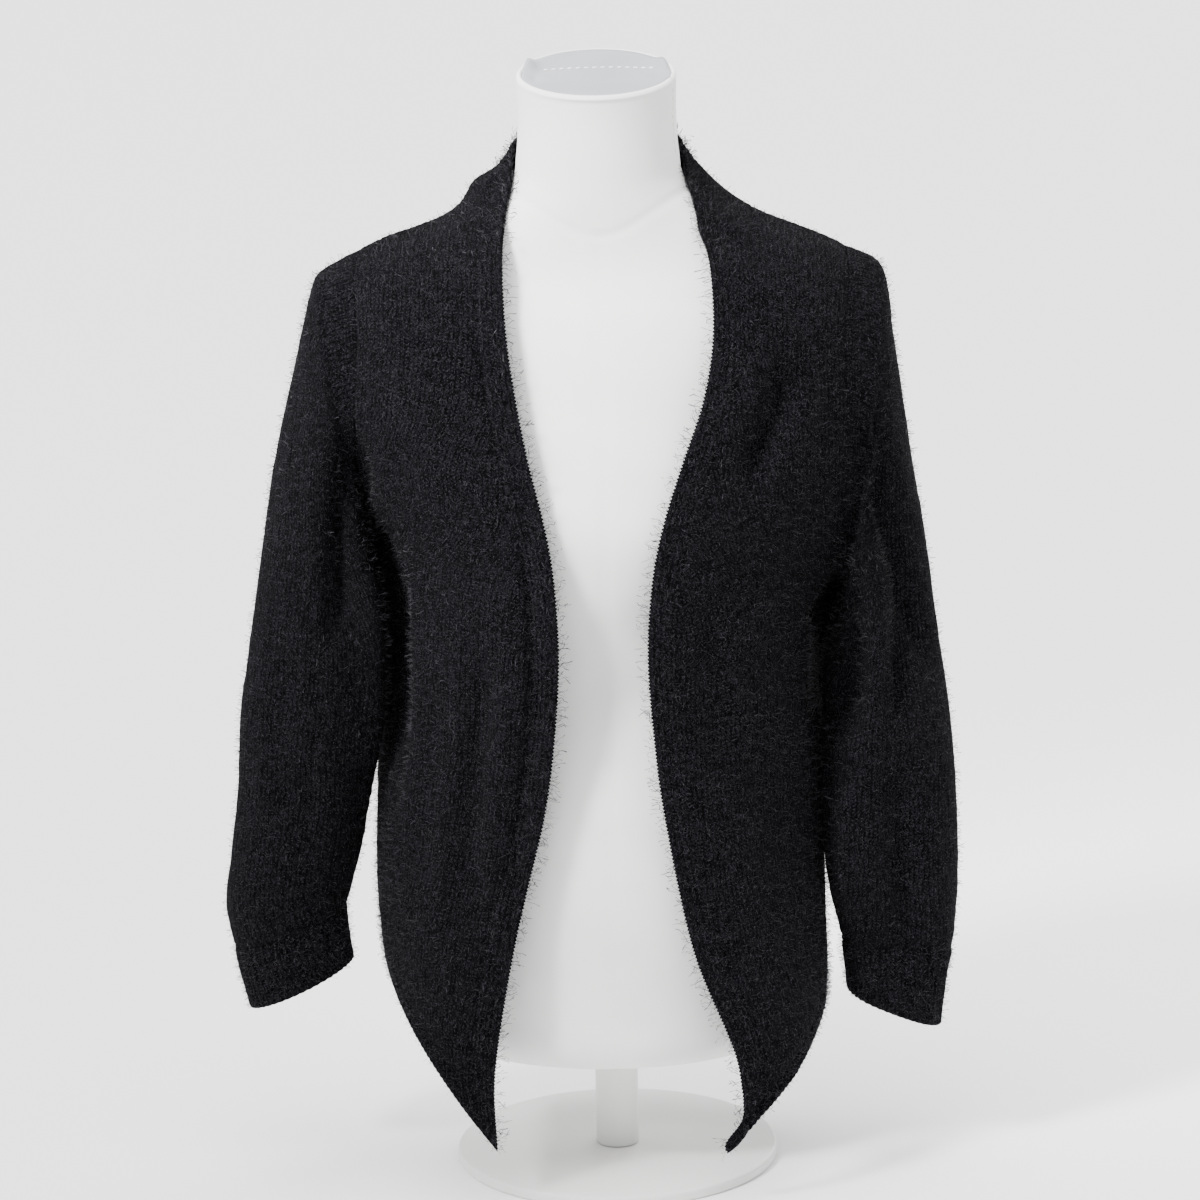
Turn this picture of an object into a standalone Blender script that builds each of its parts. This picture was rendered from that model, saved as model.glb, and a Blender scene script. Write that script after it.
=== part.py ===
"""An open-front knitted cardigan resting on a limbless dress form with a stand.

Tables are in millimetres and degrees. +Z is up and the front faces -Y. Left and right are the
wearer's, so the wearer's left is +X. Each cloth piece is a wall round the garment's outer surface.
"""

import math
from collections import namedtuple

import bmesh
import bpy
import numpy as np

MM = 0.001

# Driving sizes
WALL = 2.4              # thickness of the knit
SEAM_GAP = 0.3          # between two pieces at a seam
FORM_GAP = 1.5          # between the knit and the form where it rests
BAND_WIDTH = 20.0       # front band
HEM_WIDTH = 22.0        # hem rib
CUFF_RIBS = 44          # raised ribs round each cuff
CUFF_RIB_HEIGHT = 1.0
NECK_TILT = 15.0        # the neck's top leans forward
NECK_TOP = 807.0        # height of the middle of the neck's top
CAP_RADIUS_IN = 6.0     # the cap's edge inside the neck's edge
CAP_RECESS = 5.0        # depth of the seat for the cap
CAP_THICKNESS = 4.4
FORM_BOTTOM = 95.0
POLE_RADIUS = 16.0
BASE_RADIUS = 120.0
BASE_THICKNESS = 8.0

# Mesh counts
FORM_SIDES = 40
BAND_STRIPS = 2
PANEL_STRIPS = 10
NECK_STRIPS = 6
ARMHOLE_ROWS = 12
BODY_ROWS = 12
SLEEVE_ROWS = 15
CUFF_ROWS = 2
CURVE_SAMPLES = 60

HANDLE = 0.38           # length of a row's Bezier handles as a share of its chord
SQUARE_ENOUGH = 0.9     # sine of the angle to the wall from which a seam's own direction counts
UNDERARM_ROW = 8        # the row of the front tables that passes the underarm

FormRing = namedtuple("FormRing", "height half_width front back")
FORM = [
    FormRing(95, 120, 89, 89),
    FormRing(100, 125, 93, 93),
    FormRing(135, 133, 98, 98),
    FormRing(180, 140, 103, 104),
    FormRing(230, 144, 104, 108),
    FormRing(285, 141, 99, 104),
    FormRing(335, 126, 88, 90),
    FormRing(372, 117, 82, 80),
    FormRing(410, 123, 88, 80),
    FormRing(450, 136, 102, 84),
    FormRing(489, 145, 110, 88),
    FormRing(530, 150, 104, 92),
    FormRing(580, 158, 92, 95),
    FormRing(620, 173, 80, 93),
    FormRing(643, 185, 70, 86),
    FormRing(656, 186, 62, 78),
    FormRing(667, 176, 56, 70),
    FormRing(679, 152, 52, 64),
    FormRing(691, 124, 50, 58),
    FormRing(703, 98, 49, 55),
    FormRing(716, 76, 49, 53),
    FormRing(731, 62, 49, 52),
    FormRing(750, 58, 49, 51),
    FormRing(780, 56.5, 49, 51),
    FormRing(807, 57, 51, 52),
]

# A row runs from the opening's edge round to the armhole or side seam. x counts outwards from the
# middle and y backwards. The turns say which way the row points there: 0 outwards, 90 backwards.
# stand is how far the row falls at its start, where the band stands against the neck, and lift
# bends the row so that it climbs early, as the hem does from its long front corner.
Row = namedtuple("Row", "edge_x edge_y edge_z side_x side_y side_z edge_turn side_turn stand lift")
FRONT_RIGHT = [
    Row(60, 14, 757, 172, 4, 684, 0, 0, 41, 0.0),
    Row(61, -16, 731, 175, -22, 671, 0, 20, 20, 0.0),
    Row(67, -38, 708, 174, -40, 653, 0, 35, 8, 0.0),
    Row(69, -63, 681, 173, -52, 628, -5, 40, 2, 0.0),
    Row(67, -86, 634, 174, -58, 600, -5, 45, 0, 0.0),
    Row(61, -100, 589, 176, -57, 565, -5, 50, 0, 0.0),
    Row(53, -111, 546, 174, -44, 525, 0, 60, 0, 0.0),
    Row(43, -118, 503, 168, -18, 494, 0, 72, 0, 0.0),
    Row(37, -121, 462, 165.5, 16, 476, 0, 78, 0, 0.0),
    Row(35, -121, 408, 166, 25, 412, 0, 74, 0, 0.0),
    Row(39, -120, 352, 168, 25, 346, 2, 76, 0, 0.0),
    Row(48, -120, 292, 173, 24, 280, 4, 86, 0, 0.1),
    Row(70, -122, 204, 175, 21, 225, 4, 90, 0, 0.4),
    Row(87, -123, 108, 174, 18, 190, 0, 88, 0, 0.8),
    Row(87, -124, 47, 171, 16, 162, -4, 88, 0, 1.1),
]
FRONT_LEFT = [
    Row(58, 14, 758, 176, 4, 680, 0, 0, 37, 0.0),
    Row(63, -16, 728, 177, -22, 668, 0, 20, 20, 0.0),
    Row(70, -40, 701, 175, -40, 650, 0, 35, 8, 0.0),
    Row(77, -63, 678, 172, -53, 624, -5, 40, 2, 0.0),
    Row(78, -86, 630, 172, -60, 592, -5, 42, 0, 0.0),
    Row(70, -101, 586, 172, -62, 550, -5, 42, 0, 0.0),
    Row(55, -112, 545, 171, -52, 500, 0, 48, 0, 0.0),
    Row(41, -119, 504, 168, -26, 452, 0, 62, 0, 0.0),
    Row(32, -121, 462, 166, 14, 428, 0, 76, 0, 0.0),
    Row(28, -121, 408, 163.5, 25, 376, 0, 76, 0, 0.0),
    Row(31, -120, 352, 161, 25, 320, 0, 78, 0, 0.0),
    Row(38, -120, 290, 157, 24, 262, 2, 82, 0, 0.1),
    Row(57, -122, 192, 156, 21, 205, 2, 90, 0, 0.4),
    Row(88, -124, 104, 158, 18, 155, 0, 88, 0, 0.9),
    Row(82, -124, 42, 157, 16, 120, -4, 88, 0, 1.3),
]

# The back's middle line, at the same rows as the fronts. Row 0 is the back neck seam.
BackRow = namedtuple("BackRow", "row middle_y middle_z")
BACK = [
    BackRow(3, 88, 668),
    BackRow(4, 99, 625),
    BackRow(5, 102, 580),
    BackRow(6, 100, 540),
    BackRow(7, 98, 500),
    BackRow(8, 97, 460),
    BackRow(9, 98, 400),
    BackRow(10, 102, 345),
    BackRow(11, 108, 288),
    BackRow(12, 112, 225),
    BackRow(13, 114, 180),
    BackRow(14, 114, 146),
]
BACK_ARMHOLE_OFFSET = 8.0       # the back armhole mirrors the front one past this depth
BACK_ARMHOLE_SHARE = 0.985      # and lies this much nearer the middle
SHOULDER_SHARE = 0.56           # of half a back row, from its side to the neck's seam
NECK_SEAM_BACK = (66.0, 741.0)  # y and z of the band's seam at the middle of the back neck
NECK_EDGE_BACK = (57.0, 764.0)  # y and z of the band's edge there

# Rings of the sleeves, from the sleeve head down: outer and inner points, middle and half depth.
Ring = namedtuple("Ring", "outer_x outer_z inner_x inner_z middle_y half_depth")
SLEEVE_RIGHT = [
    Ring(201, 668, 168.5, 474, 4, 62),
    Ring(209, 650, 167.5, 466, 1, 62),
    Ring(221, 602, 165.5, 452, -2, 59),
    Ring(238, 533, 161.5, 426, -4, 54),
    Ring(250, 465, 160.5, 392, -4, 48),
    Ring(261, 400, 165, 352, -4, 45),
    Ring(270, 345, 171.5, 312, -5, 43),
    Ring(274, 290, 178, 277, -5, 42),
    Ring(281, 240, 185, 243, -6, 41),
    Ring(286, 203, 193, 214, -6, 39),
    Ring(281, 170, 197, 200, -6, 36),
]
CUFF_RIGHT = [
    Ring(278, 152, 197, 186, -6, 36),
    Ring(271, 123, 194, 158, -6, 33),
]
SLEEVE_LEFT = [
    Ring(197, 670, 172, 427, 4, 60),
    Ring(205, 655, 170.5, 420, 1, 61),
    Ring(210, 614, 166, 408, -2, 60),
    Ring(223, 523, 160, 386, -4, 55),
    Ring(232, 470, 157.5, 364, -4, 50),
    Ring(241, 400, 157, 340, -4, 46),
    Ring(249, 343, 157, 305, -5, 43),
    Ring(253, 298, 157.5, 270, -5, 42),
    Ring(255, 250, 160, 238, -6, 41),
    Ring(255, 206, 166, 207, -6, 39),
    Ring(251, 158, 174.5, 170, -6, 34),
]
CUFF_LEFT = [
    Ring(247, 138, 175, 157, -6, 34),
    Ring(242, 99, 176.5, 128, -6, 32),
]

# Soft folds, as seen from the front or the back: a line of x, z points, its width and its depth.
# A minus depth is a ridge.
Fold = namedtuple("Fold", "face line width depth")
FOLDS = [
    Fold("front", ((-172, 600), (-188, 505), (-192, 390)), 15, 5.0),
    Fold("front", ((-94, 480), (-100, 390), (-106, 280)), 22, 4.0),
    Fold("front", ((-122, 350), (-136, 270), (-150, 190)), 20, 3.5),
    Fold("front", ((148, 596), (130, 560), (94, 500)), 20, 6.0),
    Fold("front", ((70, 440), (78, 380), (88, 320)), 22, 4.0),
    Fold("front", ((104, 345), (116, 270), (130, 180)), 22, 3.5),
    Fold("front", ((190, 560), (210, 430), (216, 310)), 15, 5.0),
    Fold("front", ((180, 425), (172, 375), (172, 320)), 20, 12.0),
    Fold("front", ((204, 440), (198, 370), (184, 310)), 14, -4.0),
    Fold("back", ((-104, 570), (-122, 470), (-130, 360)), 24, 5.0),
    Fold("back", ((100, 550), (114, 440), (124, 320)), 24, 5.0),
    Fold("back", ((-36, 350), (-46, 260), (-56, 160)), 26, 4.0),
    Fold("back", ((50, 320), (60, 240), (76, 150)), 24, 4.5),
    Fold("back", ((-196, 570), (-212, 470), (-222, 380)), 16, 5.0),
    Fold("back", ((188, 530), (202, 440), (212, 350)), 16, 5.5),
]
FOLD_FADE = 0.3         # share of a fold's length over which it fades in and out


def smooth_through(keys, values, places):
    """Values at the places on a smooth curve through the values at the keys."""
    keys = np.asarray(keys, float)
    values = np.asarray(values, float)
    steps = np.diff(keys)
    rates = np.diff(values, axis=0) / steps.reshape(-1, *[1] * (values.ndim - 1))
    slopes = np.empty_like(values)
    slopes[0] = rates[0]
    slopes[-1] = rates[-1]
    before = steps[:-1].reshape(-1, *[1] * (values.ndim - 1))
    after = steps[1:].reshape(-1, *[1] * (values.ndim - 1))
    slopes[1:-1] = (rates[:-1] * after + rates[1:] * before) / (before + after)
    places = np.clip(np.asarray(places, float), keys[0], keys[-1])
    index = np.clip(np.searchsorted(keys, places, side="right") - 1, 0, len(keys) - 2)
    shape = (-1, *[1] * (values.ndim - 1))
    step = steps[index].reshape(shape)
    part = ((places - keys[index]) / steps[index]).reshape(shape)
    start = values[index] * (1 + 2 * part) * (1 - part) ** 2 + slopes[index] * step * part * (1 - part) ** 2
    end = values[index + 1] * part ** 2 * (3 - 2 * part) + slopes[index + 1] * step * part ** 2 * (part - 1)
    return start + end


def bezier(p0, p1, p2, p3, part):
    """Points of a cubic Bezier curve at an array of parts from 0 to 1."""
    part = np.asarray(part, float).reshape(-1, 1)
    return (p0 * (1 - part) ** 3 + 3 * p1 * part * (1 - part) ** 2
            + 3 * p2 * part ** 2 * (1 - part) + p3 * part ** 3)


def at_lengths(points, lengths):
    """Points at the given lengths along a polyline."""
    along = np.concatenate([[0], np.cumsum(np.linalg.norm(np.diff(points, axis=0), axis=1))])
    return np.stack([np.interp(lengths, along, points[:, axis]) for axis in range(3)], axis=1)


def length_of(points):
    """Length of a polyline."""
    return float(np.sum(np.linalg.norm(np.diff(points, axis=0), axis=1)))


def unit(vectors):
    """Vectors of length one, along the last axis."""
    return vectors / np.maximum(np.linalg.norm(vectors, axis=-1, keepdims=True), 1e-9)


def heading(turn, outwards):
    """Unit vector in plan: turn 0 points outwards and 90 backwards."""
    angle = math.radians(turn)
    return np.array([outwards * math.cos(angle), math.sin(angle), 0.0])


def row_curve(row, outwards):
    """Points of one row of a front, from the opening's edge to the armhole or side seam."""
    edge = np.array([outwards * row.edge_x, row.edge_y, row.edge_z])
    side = np.array([outwards * row.side_x, row.side_y, row.side_z])
    handle = HANDLE * math.hypot(side[0] - edge[0], side[1] - edge[1])
    fall = (side[2] - edge[2]) / 3
    near_edge = edge + handle * heading(row.edge_turn, outwards)
    near_edge[2] += fall * (1 + row.lift) - row.stand
    near_side = side - handle * heading(row.side_turn, outwards)
    near_side[2] -= fall * (1 - row.lift)
    return bezier(edge, near_edge, near_side, side, np.linspace(0, 1, CURVE_SAMPLES))


def front_strips(curve):
    """Points across a row: the band's strips, then the panel's."""
    whole = length_of(curve)
    band = np.linspace(0, BAND_WIDTH, BAND_STRIPS + 1)
    panel = np.linspace(BAND_WIDTH, whole, PANEL_STRIPS + 1)
    return at_lengths(curve, np.concatenate([band, panel[1:]]))


def fill_rows(keys, curves):
    """A grid of mesh rows through table rows: evenly from the shoulder to the underarm, then to the
    hem seam by length, and a last row at the hem's edge."""
    upper = smooth_through(keys, curves, np.linspace(0, UNDERARM_ROW, ARMHOLE_ROWS + 1))
    lower = smooth_through(keys, curves, np.linspace(UNDERARM_ROW, keys[-1], CURVE_SAMPLES))
    columns = []
    for column in range(lower.shape[1]):
        line = lower[:, column]
        whole = length_of(line)
        lengths = np.append(np.linspace(0, whole - HEM_WIDTH, BODY_ROWS), whole)
        columns.append(at_lengths(line, lengths))
    return np.concatenate([upper, np.stack(columns, axis=1)[1:]])


def front_grid(rows, outwards):
    """Outer surface of a front with its band and hem, as a grid of points."""
    curves = np.stack([front_strips(row_curve(row, outwards)) for row in rows])
    return fill_rows(np.arange(len(rows)), curves)


def half_ellipse(right, middle, left, count):
    """Points round the back of the neck between two side points."""
    points = []
    for angle in np.linspace(0, math.pi, count + 1):
        side = right if angle < math.pi / 2 else left
        across = abs(math.cos(angle))
        behind = math.sin(angle)
        x = side[0] * across
        y = side[1] + (middle[0] - side[1]) * behind
        z = side[2] + (middle[1] - side[2]) * behind
        points.append((x, y, z))
    return np.array(points)


def neck_grid(front_right, front_left):
    """The band round the back neck: lines from the opening's edge to its seam."""
    lines = []
    for strip in range(BAND_STRIPS + 1):
        share = strip / BAND_STRIPS
        middle = [edge + (seam - edge) * share for edge, seam in zip(NECK_EDGE_BACK, NECK_SEAM_BACK)]
        lines.append(half_ellipse(front_right[0, strip], middle, front_left[0, strip], NECK_STRIPS))
    return np.stack(lines, axis=1)


def back_armhole(point):
    """The back armhole's point across from a front one."""
    return np.array([point[0] * BACK_ARMHOLE_SHARE, 2 * BACK_ARMHOLE_OFFSET - point[1], point[2]])


def back_curve(back_row):
    """One row of the back, right side to left, through its middle."""
    middle = np.array([0.0, back_row.middle_y, back_row.middle_z])
    above_underarm = back_row.row < UNDERARM_ROW
    halves = []
    for front_rows, outwards in ((FRONT_RIGHT, -1), (FRONT_LEFT, 1)):
        front_row = front_rows[back_row.row]
        side = np.array([outwards * front_row.side_x, front_row.side_y, front_row.side_z])
        start = back_armhole(side) if above_underarm else side
        handle = HANDLE * math.hypot(start[0], start[1] - middle[1])
        turn = front_row.side_turn
        leave = heading(180 - turn if above_underarm else turn, outwards)
        rise = (middle[2] - start[2]) / 3
        near_side = start + handle * leave + [0, 0, rise]
        near_middle = middle + [outwards * handle, 0, -rise * 0.2]
        curve = bezier(start, near_side, near_middle, middle, np.linspace(0, 1, CURVE_SAMPLES))
        neck = length_of(curve) * SHOULDER_SHARE
        shoulder_part = np.linspace(0, neck, PANEL_STRIPS + 1)
        neck_part = np.linspace(neck, length_of(curve), NECK_STRIPS // 2 + 1)
        halves.append(at_lengths(curve, np.concatenate([shoulder_part, neck_part[1:]])))
    return np.concatenate([halves[0], halves[1][-2::-1]])


def back_grid(front_right, front_left, neck):
    """Outer surface of the back and its hem, right side to left."""
    top = np.concatenate([front_right[0, :BAND_STRIPS - 1:-1], neck[1:-1, -1], front_left[0, BAND_STRIPS:]])
    keys = [0]
    curves = [top]
    for back_row in BACK:
        keys.append(back_row.row)
        curves.append(back_curve(back_row))
    grid = fill_rows(np.array(keys), np.stack(curves))
    grid[0] = top
    grid[ARMHOLE_ROWS:, 0] = front_right[ARMHOLE_ROWS:, -1]
    grid[ARMHOLE_ROWS:, -1] = front_left[ARMHOLE_ROWS:, -1]
    return grid


def ring_points(ring, outwards, count):
    """Points round a sleeve: from its inner side over the front, the outer side and the back."""
    inner = np.array([outwards * ring.inner_x, ring.middle_y, ring.inner_z])
    outer = np.array([outwards * ring.outer_x, ring.middle_y, ring.outer_z])
    middle = (inner + outer) / 2
    points = []
    for angle in np.linspace(0, 2 * math.pi, count, endpoint=False):
        forward = np.array([0, -ring.half_depth * math.sin(angle), 0])
        points.append(middle + (inner - middle) * math.cos(angle) + forward)
    return np.array(points)


def armhole_ring(front, back, back_column):
    """The armhole's points: underarm, up the front edge, shoulder, down the back edge."""
    up_front = front[ARMHOLE_ROWS::-1, -1]
    down_back = back[1:ARMHOLE_ROWS, back_column]
    return np.concatenate([up_front, down_back])


def sleeve_grid(armhole, rings, cuff, outwards):
    """Outer surface of a sleeve and its cuff: rows run round it, from the armhole down."""
    count = len(armhole)
    curves = [armhole] + [ring_points(ring, outwards, count) for ring in rings + cuff]
    keys = np.arange(len(curves))
    cuff_start = len(rings)
    sleeve_places = np.linspace(0, cuff_start, SLEEVE_ROWS + 1)
    cuff_places = np.linspace(cuff_start, len(curves) - 1, CUFF_ROWS + 1)
    return smooth_through(keys, np.stack(curves), np.concatenate([sleeve_places, cuff_places[1:]]))


def form_measure(points):
    """How far points lie outside the form, roughly, and the way out."""
    heights = [ring.height for ring in FORM]
    table = np.array([(ring.half_width, ring.front, ring.back) for ring in FORM], float)

    def outside(places):
        sizes = smooth_through(heights, table, places[:, 2])
        depth = np.where(places[:, 1] < 0, sizes[:, 1], sizes[:, 2])
        return np.hypot(places[:, 0] / sizes[:, 0], places[:, 1] / depth) - 1

    step = 0.5
    value = outside(points)
    slope = np.stack([(outside(points + step * axis) - outside(points - step * axis)) / (2 * step)
                      for axis in np.eye(3)], axis=1)
    size = np.linalg.norm(slope, axis=1)
    return value / size, slope / size[:, None]


def rest_on_form(grid):
    """Moves points that would lie in the form out onto it."""
    points = grid.reshape(-1, 3).copy()
    for _ in range(6):
        distance, way_out = form_measure(points)
        short = np.clip(WALL + FORM_GAP - distance, 0, None)
        short[points[:, 2] > FORM[-1].height - WALL] = 0
        points += way_out * short[:, None]
    return points.reshape(grid.shape)


def grid_normals(grid, closed):
    """Outward normals at a grid's points. closed says that its columns run all the way round."""
    if closed:
        around = np.roll(grid, -1, axis=1) - np.roll(grid, 1, axis=1)
    else:
        around = np.gradient(grid, axis=1)
    return unit(np.cross(np.gradient(grid, axis=0), around))


def place_of(point):
    """A key for a point that several surfaces share."""
    return tuple(np.round(point, 2))


def share_normals(grids, normals):
    """Gives points that meet at a seam one normal, so that the walls end face to face."""
    shared = {}
    panels = [name for name in grids if not name.startswith("sleeve")]
    for name in panels:
        for point, normal in zip(grids[name].reshape(-1, 3), normals[name].reshape(-1, 3)):
            shared[place_of(point)] = shared.get(place_of(point), 0) + normal
    for name in ("sleeve_right", "sleeve_left"):
        armhole = grids[name][0]
        around = unit(np.roll(armhole, -1, axis=0) - np.roll(armhole, 1, axis=0))
        body = unit(np.array([shared[place_of(point)] for point in armhole]))
        sleeve = normals[name][0]
        # At the underarm the two walls nearly face each other, so their ways out of the seam count too
        out = unit(body + sleeve + np.cross(around, sleeve) - np.cross(around, body))
        normals[name][0] = out
        shared.update(zip(map(place_of, armhole), out))
    for name in panels:
        found = np.array([shared[place_of(point)] for point in grids[name].reshape(-1, 3)])
        normals[name] = unit(found).reshape(normals[name].shape)


def fold_profile(spots, fold):
    """Depth of one fold at x, z spots."""
    line = np.array(fold.line, float)
    runs = np.diff(line, axis=0)
    lengths = np.linalg.norm(runs, axis=1)
    nearest = np.full(spots.shape[:-1], np.inf)
    share = np.zeros(spots.shape[:-1])
    for index, (start, run) in enumerate(zip(line, runs)):
        offset = spots - start
        along = np.clip(offset @ run / (run @ run), 0, 1)
        away = np.linalg.norm(offset - along[..., None] * run, axis=-1)
        closer = away < nearest
        nearest = np.where(closer, away, nearest)
        passed = (np.sum(lengths[:index]) + along * lengths[index]) / np.sum(lengths)
        share = np.where(closer, passed, share)
    fade = np.clip(np.minimum(share, 1 - share) / FOLD_FADE, 0, 1)
    return fold.depth * np.exp(-(nearest / fold.width) ** 2) * fade * fade * (3 - 2 * fade)


def fold_depths(grid, normals):
    """Depth of the soft folds at each point of a grid."""
    depths = np.zeros(grid.shape[:2])
    for fold in FOLDS:
        facing = -normals[..., 1] if fold.face == "front" else normals[..., 1]
        depths += fold_profile(grid[..., [0, 2]], fold) * np.clip(facing * 1.6, 0, 1)
    return depths


def cloth_grids():
    """The garment's outer surfaces, folded and resting on the form, with their normals."""
    front_right = front_grid(FRONT_RIGHT, -1)
    front_left = front_grid(FRONT_LEFT, 1)
    neck = neck_grid(front_right, front_left)
    back = back_grid(front_right, front_left, neck)
    sleeve_right = sleeve_grid(armhole_ring(front_right, back, 0), SLEEVE_RIGHT, CUFF_RIGHT, -1)
    sleeve_left = sleeve_grid(armhole_ring(front_left, back, -1), SLEEVE_LEFT, CUFF_LEFT, 1)
    # Columns run anticlockwise seen from above, so that every normal points out of the garment
    grids = {
        "front_right": front_right[:, ::-1],
        "front_left": front_left,
        "neck": neck[::-1].transpose(1, 0, 2),
        "back": back[:, ::-1],
        "sleeve_right": sleeve_right[:, ::-1],
        "sleeve_left": sleeve_left,
    }
    closed = {name: name.startswith("sleeve") for name in grids}
    normals = {name: grid_normals(grid, closed[name]) for name, grid in grids.items()}
    share_normals(grids, normals)
    for name, grid in grids.items():
        grids[name] = rest_on_form(grid - normals[name] * fold_depths(grid, normals[name])[..., None])
    normals = {name: grid_normals(grid, closed[name]) for name, grid in grids.items()}
    share_normals(grids, normals)
    return grids, normals


def inwards(along, normal, inside):
    """Half the seam gap at each point of an edge, along the wall and square to the edge."""
    square = np.cross(unit(along), normal)
    # Where a seam turns a corner, as at the underarm, its own direction says nothing
    straight = inside - normal * np.sum(inside * normal, axis=1, keepdims=True)
    corner = np.linalg.norm(square, axis=1, keepdims=True) < SQUARE_ENOUGH
    return unit(np.where(corner, straight, square)) * SEAM_GAP / 2


def draw_in(grid, normals, closed):
    """Draws a piece's edges in by half the seam gap."""
    down = np.gradient(grid, axis=0)
    if closed:
        around = np.roll(grid, -1, axis=1) - np.roll(grid, 1, axis=1)
    else:
        around = np.gradient(grid, axis=1)
    drawn = grid.copy()
    drawn[0] += inwards(around[0], normals[0], down[0])
    drawn[-1] += inwards(-around[-1], normals[-1], -down[-1])
    if not closed:
        drawn[:, 0] += inwards(-down[:, 0], normals[:, 0], around[:, 0])
        drawn[:, -1] += inwards(down[:, -1], normals[:, -1], -around[:, -1])
    return drawn


def end_faces(mesh, near, far, far_inside, near_inside):
    """Closes a stretch of a wall's edge. Both walls of a seam are split along the same diagonal."""
    if near.co.z + 0.3 * near.co.y < far.co.z + 0.3 * far.co.y:
        mesh.faces.new((near, far, far_inside))
        mesh.faces.new((near, far_inside, near_inside))
    else:
        mesh.faces.new((near, far, near_inside))
        mesh.faces.new((far, far_inside, near_inside))


def wall(name, grid, normals, material, collection, closed=False, raised=None):
    """A closed wall: the grid as its outer skin, and the same points moved in as its lining side."""
    outer = draw_in(grid, normals, closed)
    inner = outer - normals * WALL
    if raised is not None:
        outer = outer + normals * raised[..., None]
    rows, columns = grid.shape[:2]
    mesh = bmesh.new()
    outside = [[mesh.verts.new(point * MM) for point in row] for row in outer]
    inside = [[mesh.verts.new(point * MM) for point in row] for row in inner]
    steps = columns if closed else columns - 1
    for i in range(rows - 1):
        for j in range(steps):
            k = (j + 1) % columns
            mesh.faces.new((outside[i][j], outside[i + 1][j], outside[i + 1][k], outside[i][k]))
            mesh.faces.new((inside[i][j], inside[i][k], inside[i + 1][k], inside[i + 1][j]))
    for j in range(steps):
        k = (j + 1) % columns
        end_faces(mesh, outside[0][j], outside[0][k], inside[0][k], inside[0][j])
        end_faces(mesh, outside[-1][k], outside[-1][j], inside[-1][j], inside[-1][k])
    if not closed:
        for i in range(rows - 1):
            end_faces(mesh, outside[i + 1][0], outside[i][0], inside[i][0], inside[i + 1][0])
            end_faces(mesh, outside[i][-1], outside[i + 1][-1], inside[i + 1][-1], inside[i][-1])
    return add_object(name, mesh, material, collection)


def add_object(name, mesh, material, collection):
    """Turns a bmesh into a smooth object with its material."""
    bmesh.ops.recalc_face_normals(mesh, faces=mesh.faces)
    data = bpy.data.meshes.new(name)
    mesh.to_mesh(data)
    mesh.free()
    data.shade_smooth()
    data.set_sharp_from_angle(angle=math.radians(40))
    data.materials.append(material)
    piece = bpy.data.objects.new(name, data)
    collection.objects.link(piece)
    return piece


def new_material(name, colour, roughness):
    """A plain Principled material."""
    material = bpy.data.materials.new(name)
    material.use_nodes = True
    shader = material.node_tree.nodes["Principled BSDF"]
    shader.inputs["Base Color"].default_value = (*colour, 1.0)
    shader.inputs["Roughness"].default_value = roughness
    shader.inputs["Metallic"].default_value = 0.0
    material.diffuse_color = (*colour, 1.0)
    return material


def ellipse_loop(half_width, front, back, height, tilt):
    """One ring of the form. tilt raises its back and lowers its front."""
    points = []
    for step in range(FORM_SIDES):
        angle = 2 * math.pi * step / FORM_SIDES
        depth = back if math.sin(angle) > 0 else front
        y = depth * math.sin(angle)
        points.append((half_width * math.cos(angle), y, height + y * math.tan(math.radians(tilt))))
    return points


def neck_tilt(height):
    """The rings lean forward more and more up the neck."""
    share = min(max((height - 745) / (NECK_TOP - 745), 0), 1)
    return NECK_TILT * share


def loft(name, rings, material, collection):
    """A closed solid through rings of points, bottom to top."""
    mesh = bmesh.new()
    loops = [[mesh.verts.new([value * MM for value in point]) for point in ring] for ring in rings]
    for low, high in zip(loops, loops[1:]):
        for j in range(len(low)):
            k = (j + 1) % len(low)
            mesh.faces.new((low[j], low[k], high[k], high[j]))
    mesh.faces.new(loops[0][::-1])
    mesh.faces.new(loops[-1])
    return add_object(name, mesh, material, collection)


def build_form(collection):
    """The torso with its neck, and the cap let into the neck's top."""
    cover = new_material("form_cover", (0.80, 0.80, 0.79), 0.85)
    cap_cover = new_material("cap_cover", (0.78, 0.78, 0.77), 0.85)
    rings = [ellipse_loop(ring.half_width, ring.front, ring.back, ring.height, neck_tilt(ring.height))
             for ring in FORM]
    top = FORM[-1]
    seat = [size - CAP_RADIUS_IN for size in (top.half_width, top.front, top.back)]
    rings.append(ellipse_loop(*seat, NECK_TOP, NECK_TILT))
    rings.append(ellipse_loop(*seat, NECK_TOP - CAP_RECESS, NECK_TILT))
    loft("dress_form", rings, cover, collection)
    cap = [size - SEAM_GAP for size in seat]
    rim = [size - 1.5 for size in cap]
    floor = NECK_TOP - CAP_RECESS + SEAM_GAP
    cap_rings = [ellipse_loop(*cap, floor, NECK_TILT),
                 ellipse_loop(*cap, floor + CAP_THICKNESS - 1.5, NECK_TILT),
                 ellipse_loop(*rim, floor + CAP_THICKNESS, NECK_TILT)]
    loft("neck_cap", cap_rings, cap_cover, collection)


def add_cylinder(name, radius, bottom, top, bevel, material, collection):
    """An upright cylinder with rounded edges."""
    mesh = bmesh.new()
    bmesh.ops.create_cone(mesh, cap_ends=True, segments=48, radius1=radius * MM, radius2=radius * MM,
                          depth=(top - bottom) * MM)
    bmesh.ops.translate(mesh, verts=mesh.verts, vec=(0, 0, (bottom + top) / 2 * MM))
    piece = add_object(name, mesh, material, collection)
    rounding = piece.modifiers.new("Rounded edges", "BEVEL")
    rounding.width = bevel * MM
    rounding.segments = 2
    rounding.limit_method = "ANGLE"
    return piece


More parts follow.
